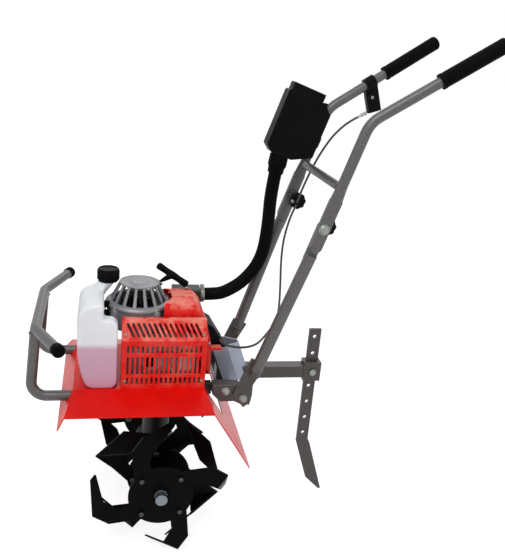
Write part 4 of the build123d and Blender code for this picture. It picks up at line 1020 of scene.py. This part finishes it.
class TILLER_OT_handles(bpy.types.Operator):
    """Fit the ribbed grips, the fold's knobs and bolts and the weld beads"""
    bl_idname = "tiller.handles"
    bl_label = "Handle fittings"

    grip_step = 0.625
    collar_r, collar_end, taper_end, taper = 15.5, 7, 11, 0.45
    tip_run, tip_r, tip_drop, tip_power = 8, 15.3, 3.6, 3
    rib_foot, rib_height, rib_power = 14.3, 0.9, 0.6
    cheek_outer, tongue_inner = 140.0, 126.5
    knob_shift, knob_depth = 14.0, 0.1
    knob = (
        (0, 0), (0, 11), (4, 11), (6.5, 13.5), (8, 18), (9.5, 19), (17, 19), (18.8, 17.6),
        (19.8, 15), (20, 7), (19, 6), (19, 0))
    head = (
        (-13, 4), (0, 4), (0, 11), (1.4, 11), (1.6, 9.4), (2.4, 9), (4.2, 7), (5.4, 4.4), (6, 0))
    shank = ((-4, 4), (20, 4), (23.4, 4), (24, 3.2), (24, 0))
    tube_weld, cross_weld, weld_gap = (12.8, 1.5), (9.2, 1.7), 0.6

    def ribbed(self, hand, pitch):
        """A grip with ribs, a collar and a domed end."""
        length = GRIP_END - GRIP_START
        steps = int(length / self.grip_step)

        def radius(run):
            if run < self.collar_end:
                return self.collar_r
            if run < self.taper_end:
                return self.collar_r - (run - self.collar_end) * self.taper
            if run > length - self.tip_run:
                inset = (run - length + self.tip_run) / self.tip_run
                return self.tip_r - self.tip_drop * inset ** self.tip_power
            return self.rib_foot + self.rib_height * abs(sin(pi * run / pitch)) ** self.rib_power

        bm = bmesh.new()
        line = [at(*grip_at(GRIP_START + length * s / steps, hand)) for s in range(steps + 1)]
        pipe(bm, line, radius, sides=28)
        return bm

    def execute(self, context):
        sizes = context.scene.tiller_sizes
        for side, hand in zip(("left", "right"), HANDS):
            grip = self.ribbed(hand, sizes.grip_rib / MM)
            put(f"ribbed_grip_{side}", grip, "black_rubber", "upper_handle", (f"grip_{side}",))
        x, _, z = handle_at(FOLD_ALONG)
        bm = bmesh.new()
        for hand in HANDS:
            foot = at(x + self.knob_shift, hand * self.tongue_inner, z)
            turned(bm, foot, NEAR * hand, self.knob, 96, sizes.knob_lobes, self.knob_depth)
        put("fold_star_knobs", bm, "black_plastic", replaced=("fold_knobs",))
        bm = bmesh.new()
        for hand in HANDS:
            turned(bm, at(x, hand * self.cheek_outer, z), AWAY * hand, self.head, steps=36)
            turned(bm, at(x, hand * self.tongue_inner, z), NEAR * hand, self.shank, steps=20)
        put("fold_carriage_bolts", bm, "zinc", replaced=("fold_bolts",))
        bm = bmesh.new()
        for hand in HANDS:
            foot = at(*handle_at(WELD_ALONG, hand * handle_y(WELD_ALONG)))
            bead(bm, foot, at(*handle_at(FOLD_ALONG, hand * FOLD_Y)) - foot, *self.tube_weld)
        put("tube_welds", bm, "handle_paint")
        bm = bmesh.new()
        for hand in HANDS:
            y = handle_y(CROSS_ALONG) - UPPER_TUBE_R - self.weld_gap
            bead(bm, at(*handle_at(CROSS_ALONG, hand * y)), AWAY, *self.cross_weld)
        put("crossbar_welds", bm, "handle_paint", "upper_handle")
        return {"FINISHED"}


class TILLER_OT_bracket(bpy.types.Operator):
    """Bolt the rear bracket, the handles' feet and the stake's clamp, and weld the bracket"""
    bl_idname = "tiller.bracket"
    bl_label = "Bracket fittings"

    bolts = (((PIVOT_X, PIVOT_Z), 112.5, (8.2, 4.6, 9)), ((133, 188), 107.2, (8.2, 4.4, 9)))
    shank_y, shank_r, shank = 80, 5, ((0, 0), (0, 4.2), (0.8, 5))
    stake_bolt, stake_head = (351, -15, 184), (8.6, 5.4)
    stake_pin, stake_pin_size = (351, -3.4, 184), (5, 11.6)
    welds = (
        ((331, 14, 170.5), (331, 14, 197.5), 12), ((160.4, 14, 171), (160.4, 14, 185), 8),
        ((129, 82, 152.4), (159, 82, 152.4), 14), ((129, 82, 170), (159, 82, 170), 14))

    def execute(self, context):
        bm = bmesh.new()
        for hand in HANDS:
            out = AWAY * hand
            for (x, z), tip, head in self.bolts:
                hex_bolt(bm, at(x, hand * tip, z), out, *head)
                shank = (*self.shank, (tip - self.shank_y, self.shank_r))
                turned(bm, at(x, hand * self.shank_y, z), out, shank, steps=20)
        put("bracket_bolts", bm, "bolt_steel", replaced=("pivot_bolts",))
        bm = bmesh.new()
        hex_bolt(bm, at(*self.stake_bolt), NEAR, *self.stake_head)
        rod(bm, at(*self.stake_pin), NEAR, *self.stake_pin_size)
        put("stake_bolt", bm, "zinc", replaced=("stake_clamp_bolt",))
        bm = bmesh.new()
        for hand in HANDS:
            for start, end, steps in self.welds:
                start, end = (at(x, hand * y, z) for x, y, z in (start, end))
                weld(bm, straight(start, end, steps), STRAIGHT_WELD_R, STRAIGHT_WAVES)
        put("bracket_welds", bm, "dark_paint")
        return {"FINISHED"}


class TILLER_OT_bumper(bpy.types.Operator):
    """Cap the bumper's ends and weld its bar to its legs"""
    bl_idname = "tiller.bumper"
    bl_label = "Bumper fittings"

    corner, end, cap_in = (-248.0, 108.0, 330.0), (-197.0, 224.0, 335.0), 16
    cap = (
        (0, 10.6), (0, 12.2), (0.8, 12.5), (12, 12.5), (14.6, 12.1), (16.6, 10.6), (17.6, 7.6),
        (18, 0))
    weld_place, weld_way, weld_size = (-248.6, 108.0, 321.0), (0.08, 0, 1), (10.9, 1.6)

    def execute(self, context):
        caps, welds = bmesh.new(), bmesh.new()
        for hand in HANDS:
            corner, end, foot = (
                at(x, hand * y, z) for x, y, z in (self.corner, self.end, self.weld_place))
            way = (end - corner).normalized()
            turned(caps, end - way * self.cap_in * MM, way, self.cap, steps=36)
            bead(welds, foot, self.weld_way, *self.weld_size)
        put("bumper_end_caps", caps, "black_rubber", replaced=("bumper_caps",))
        put("bumper_welds", welds, "handle_paint")
        return {"FINISHED"}


class TILLER_OT_air_cleaner(bpy.types.Operator):
    """Add the air cleaner's parting line, its clips and its clamp's bolt"""
    bl_idname = "tiller.air_cleaner"
    bl_label = "Air cleaner fittings"

    side_clips = ((606, 79.2, 34), (606, 79.2, 88), (606, 118.8, 34), (606, 118.8, 88))
    top_clips = ((622, 99, 20), (622, 99, 104))
    side_half, top_half, edge = (8, 1.1, 3.5), (5, 9, 3), 0.8
    seams, seam_ahead, seam_r = (79.7, 118.3), 102, 0.9
    seam_along, seam_forward, seam_steps = 540, 8.5, 20
    bolt_place, bolt = (542, 126, 17.8), (4.2, 3.4, 5.6)

    def execute(self, context):
        lean = Matrix.Rotation(-radians(HANDLE_LEAN), 3, "Y")
        bm = bmesh.new()
        for places, half in ((self.side_clips, self.side_half), (self.top_clips, self.top_half)):
            for place in places:
                foot = Vector(handle_at(*place))
                slab(bm, foot - Vector(half), foot + Vector(half), self.edge, lean)
        put("air_cleaner_clips", bm, "black_plastic", "upper_handle")
        bm = bmesh.new()
        for y in self.seams:
            start, end = (at(*handle_at(self.seam_along, y, forward)) for forward in (
                self.seam_forward, self.seam_forward + self.seam_ahead))
            pipe(bm, straight(start, end, self.seam_steps), self.seam_r, sides=8)
        put("air_cleaner_seam", bm, "black_plastic", "upper_handle")
        bm = bmesh.new()
        ahead = at(*handle_at(0, 0, self.seam_ahead)) - at(*handle_at(0))
        hex_bolt(bm, at(*handle_at(*self.bolt_place)), ahead, *self.bolt)
        put("air_cleaner_bolt", bm, "zinc", "upper_handle")
        return {"FINISHED"}


class TILLER_OT_throttle(bpy.types.Operator):
    """Add the throttle's disc, its screw and its cable adjuster"""
    bl_idname = "tiller.throttle"
    bl_label = "Throttle fittings"

    disc_shift, disc_back = (-4, 0, -6), -0.2
    disc = ((0, 0), (0, 9), (2.4, 9), (3.2, 8), (3.2, 0))
    screw_r = 3.6
    start, ahead, adjuster_in = (452, 139, 757), (419, 139, 738), 3
    adjuster = (
        (0, 0), (0, 4.6), (6, 4.6), (6.6, 3.6), (10, 3.6), (10, 5), (13, 5), (13, 3.4),
        (22, 3.2), (22, 0))

    def execute(self, context):
        low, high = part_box("throttle_lever")
        foot = (low + high) / 2 + Vector(self.disc_shift) * MM
        foot.y = low.y + self.disc_back * MM
        bm = bmesh.new()
        turned(bm, foot, NEAR, self.disc, steps=28)
        put("throttle_disc", bm, "black_plastic", "upper_handle")
        bm = bmesh.new()
        pan_screw(bm, foot + NEAR * self.disc[-1][0] * MM, NEAR, self.screw_r)
        start = at(*self.start)
        way = (at(*self.ahead) - start).normalized()
        turned(bm, start - way * self.adjuster_in * MM, way, self.adjuster, steps=6)
        put("cable_adjuster", bm, "zinc", "upper_handle")
        return {"FINISHED"}


class TILLER_OT_reel(bpy.types.Operator):
    """Bolt and weld the discs to their hubs and the hubs to the shaft"""
    bl_idname = "tiller.reel"
    bl_label = "Reel fittings"

    rows = ((194.0, 46.0), (122.0, 7.0))
    circle_r, disc_half = 55.0, 2.0
    heads = ((1, 5.9, (5, 2.4)), (-1, 2.0, (5, 3.6, 7)))
    pin_y, pin_z, pin = 80, 17, (5, 4, 6.6)
    hub_weld = (17.2, 1.9)

    def execute(self, context):
        bolts, welds = bmesh.new(), bmesh.new()
        for hand in HANDS:
            for y, turn in self.rows:
                for step in range(4):
                    angle = radians(turn + 90 * step)
                    x, z = self.circle_r * cos(angle), self.circle_r * sin(angle)
                    for side, off, size in self.heads:
                        seat = at(x, hand * (y + side * off), z)
                        hex_bolt(bolts, seat, AWAY * hand * side, *size)
                for side in (1, -1):
                    middle = at(0, hand * (y + side * self.disc_half), 0)
                    bead(welds, middle, AWAY, *self.hub_weld)
            hex_bolt(bolts, at(0, hand * self.pin_y, self.pin_z), UP, *self.pin)
        put("reel_bolts", bolts, "tine_bolt", "reel")
        put("reel_welds", welds, "tine_paint", "reel")
        return {"FINISHED"}


class TILLER_OT_cords(bpy.types.Operator):
    """Run the intake hose and the throttle cable along their routes"""
    bl_idname = "tiller.cords"
    bl_label = "Hose and cable"

    hose = (
        handle_at(*HOSE_TOP_PLACE), (240, 98, 579), (241, 96, 499), (233, 93, 421),
        (197, 88, 369), (153, 80, 343), (126, 76, 338), (92, 76, 338),
    )
    cable = (
        (452, 139, 757), (419, 139, 738), (397, 138, 719), (375, 134, 695), (345, 124, 648),
        (313, 98, 589), (303, 96, 553), (287, 96, 508), (276, 90, 443), (279, 66, 329),
        (267, 30, 294), (235, -10, 276), (205, -50, 268), (168, -66, 268), (126, -62, 275),
        (124.5, -40.6, 276.5),
    )
    bend_x, bend_y = 250, 95
    looks = (
        ("hose_run", hose, "black_rubber", "intake_hose", "stiff", 28, 430, 580),
        ("cable_run", cable, "cable_sleeve", "throttle_cable", "medium", 12, 430, 610),
    )
    collar_in = 1
    collar = (
        (0, 14.6), (0, 19.6), (1.5, 20.6), (24, 20.6), (27, 19.4), (30, 18), (40, 17.6),
        (42, 16.4), (42, 14.6))
    tie_place, tie = slice(6, 8), ((0, 2.6), (0, 4), (4, 4), (4, 2.6), (0, 2.6))

    def execute(self, context):
        sizes = context.scene.tiller_sizes
        widths = (sizes.hose_diameter, sizes.cable_diameter)
        for wide, look in zip(widths, self.looks):
            name, points, finish, node, stiffness, sides, low, high = look
            line = smooth_route([at(*point) for point in points])
            bm = bmesh.new()
            pipe(bm, line, wide / 2 / MM, sides)
            piece = put(name, bm, finish, None, (node,))
            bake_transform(piece)
        bm = bmesh.new()
        top, below = (at(*point) for point in self.hose[:2])
        way = (below - top).normalized()
        turned(bm, top - way * self.collar_in * MM, way, self.collar, steps=36)
        put("hose_collar", bm, "black_rubber", "upper_handle")
        bm = bmesh.new()
        middle, below = (at(*point) for point in self.cable[self.tie_place])
        turned(bm, middle, below - middle, self.tie, steps=20)
        put("cable_tie", bm, "black_plastic", "upper_handle")
        return {"FINISHED"}


class TILLER_OT_fender(bpy.types.Operator):
    """Hem the fender, bolt it to the frame and add the gear case's bolts and ribs"""
    bl_idname = "tiller.fender"
    bl_label = "Fender fittings"

    hem_front, hem_rear, hem_y, hem_z, hem_r, hem_steps = -190, 99, 183, 176, 1.5, 40
    deck_bolts, deck_bolt = ((-140, 92, 198), (-100, 92, 198)), (5, 3.6, 8)
    case_count, case_z, case_ring, case_bolt = 6, 122, 40, (4.2, 3.6)
    cover_y, cover_ring, cover_bolt = 28, 37, (4.2, 3.4)
    cover_rib = ((26, 30), (30, 30), (31, 28.6), (31, 27), (30, 26), (26, 26), (26, 30))
    flange = (
        (119, 30), (119, 40), (119.6, 45.4), (120.4, 46.2), (121.8, 46.4), (122, 46), (122, 30))

    def execute(self, context):
        hems, bolts, ribs = bmesh.new(), bmesh.new(), bmesh.new()
        turns = [2 * pi * (step + 0.5) / self.case_count for step in range(self.case_count)]
        for hand in HANDS:
            out = AWAY * hand
            start, end = (
                at(x, hand * self.hem_y, self.hem_z) for x in (self.hem_front, self.hem_rear))
            pipe(hems, straight(start, end, self.hem_steps), self.hem_r, sides=10)
            for x, y, z in self.deck_bolts:
                hex_bolt(bolts, at(x, hand * y, z), UP, *self.deck_bolt)
            for turn in turns:
                x, z = self.cover_ring * cos(turn), self.cover_ring * sin(turn)
                hex_bolt(bolts, at(x, hand * self.cover_y, z), out, *self.cover_bolt)
            turned(ribs, AXLE, out, self.cover_rib, steps=48)
        for turn in turns:
            x, y = self.case_ring * cos(turn), self.case_ring * sin(turn)
            hex_bolt(bolts, at(x, y, self.case_z), -UP, *self.case_bolt)
        turned(ribs, AXLE, UP, self.flange, steps=48)
        put("fender_hems", hems, "red_paint")
        put("case_bolts", bolts, "tine_bolt")
        put("case_ribs", ribs, "case_black")
        return {"FINISHED"}


class TILLER_OT_stage(bpy.types.Operator):
    """Lay a pale floor under plain soft studio light"""
    bl_idname = "tiller.stage"
    bl_label = "Stage"

    reach, target = 30.0, (100, 0, 350)
    lamps = (
        ("key", (-0.8, -1.5, 2.7), 1.4, 33.0),
        ("fill", (2.0, -1.6, 1.4), 1.8, 6.0),
        ("rim", (0.4, 2.0, 2.2), 1.8, 12.0),
    )
    glow_share, glow, sky, sky_level = 0.5, 1.62, (0.95, 0.97, 1.0), 0.42

    def execute(self, context):
        scene = context.scene
        scene.view_settings.view_transform = "Standard"
        shade = tuple(scene.tiller_colours.floor)
        bm = bmesh.new()
        bmesh.ops.create_grid(bm, x_segments=2, y_segments=2, size=self.reach)
        mesh = bpy.data.meshes.new("floor")
        bm.to_mesh(mesh)
        bm.free()
        floor = bpy.data.objects.new("floor", mesh)
        scene.collection.objects.link(floor)
        material = bpy.data.materials.new("floor")
        self.mixed(
            material, "ShaderNodeOutputMaterial", ("ShaderNodeBsdfDiffuse", shade, None),
            ("ShaderNodeEmission", shade, self.glow), self.glow_share)
        mesh.materials.append(material)
        world = bpy.data.worlds.new("studio")
        self.mixed(
            world, "ShaderNodeOutputWorld", ("ShaderNodeBackground", self.sky, self.sky_level),
            ("ShaderNodeBackground", shade, None), 1.0)
        scene.world = world
        target = at(*self.target)
        for name, stand, size, power in self.lamps:
            data = bpy.data.lights.new(name, "AREA")
            data.size = size
            data.energy = power
            lamp = bpy.data.objects.new(name, data)
            lamp.location = Vector(stand)
            lamp.rotation_euler = (Vector(stand) - target).to_track_quat("Z", "Y").to_euler()
            scene.collection.objects.link(lamp)
        return {"FINISHED"}

    @staticmethod
    def mixed(owner, output, lit, seen, share):
        """Shade a floor or a world one way for light and another way, by a share, for the eye."""
        owner.use_nodes = True
        tree = owner.node_tree
        tree.nodes.clear()
        mix = tree.nodes.new("ShaderNodeMixShader")
        path = tree.nodes.new("ShaderNodeLightPath").outputs
        rays = maths(tree, "ADD", path["Is Camera Ray"], path["Is Glossy Ray"], True)
        rays = maths(tree, "ADD", rays, path["Is Transmission Ray"], True)
        feed(tree, mix.inputs[0], maths(tree, "MULTIPLY", rays, share))
        for socket, (kind, colour, strength) in zip(mix.inputs[1:], (lit, seen)):
            shader = tree.nodes.new(kind)
            feed(tree, shader.inputs["Color"], colour)
            if strength is not None:
                shader.inputs["Strength"].default_value = strength
            tree.links.new(shader.outputs[0], socket)
        tree.links.new(mix.outputs[0], tree.nodes.new(output).inputs[0])


def main():
    """Register the add-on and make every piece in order."""
    register()
    for operator in OPERATORS:
        group, name = operator.bl_idname.split(".")
        getattr(getattr(bpy.ops, group), name)()


OPERATORS = (
    TILLER_OT_finishes, TILLER_OT_tank, TILLER_OT_recoil, TILLER_OT_shroud, TILLER_OT_engine,
    TILLER_OT_handles, TILLER_OT_bracket, TILLER_OT_bumper, TILLER_OT_air_cleaner,
    TILLER_OT_throttle, TILLER_OT_reel, TILLER_OT_cords, TILLER_OT_fender, TILLER_OT_camera,
    TILLER_OT_stage,
)


class TILLER_PT_panel(bpy.types.Panel):
    """Lists the tiller's pieces in the sidebar"""
    bl_idname = "TILLER_PT_panel"
    bl_label = "Mini tiller"
    bl_space_type = "VIEW_3D"
    bl_region_type = "UI"
    bl_category = "Tiller"

    def draw(self, context):
        layout = self.layout
        for group in (context.scene.tiller_colours, context.scene.tiller_sizes):
            for name in group.__annotations__:
                layout.prop(group, name)
        for operator in OPERATORS:
            layout.operator(operator.bl_idname)


CLASSES = (TillerColours, TillerSizes, *OPERATORS, TILLER_PT_panel)


def register():
    """Register the settings, the operators and the panel."""
    for item in CLASSES:
        bpy.utils.register_class(item)
    bpy.types.Scene.tiller_colours = bpy.props.PointerProperty(type=TillerColours)
    bpy.types.Scene.tiller_sizes = bpy.props.PointerProperty(type=TillerSizes)


def unregister():
    """Take them all away again."""
    del bpy.types.Scene.tiller_colours
    del bpy.types.Scene.tiller_sizes
    for item in reversed(CLASSES):
        bpy.utils.unregister_class(item)


if __name__ == "__main__":
    main()
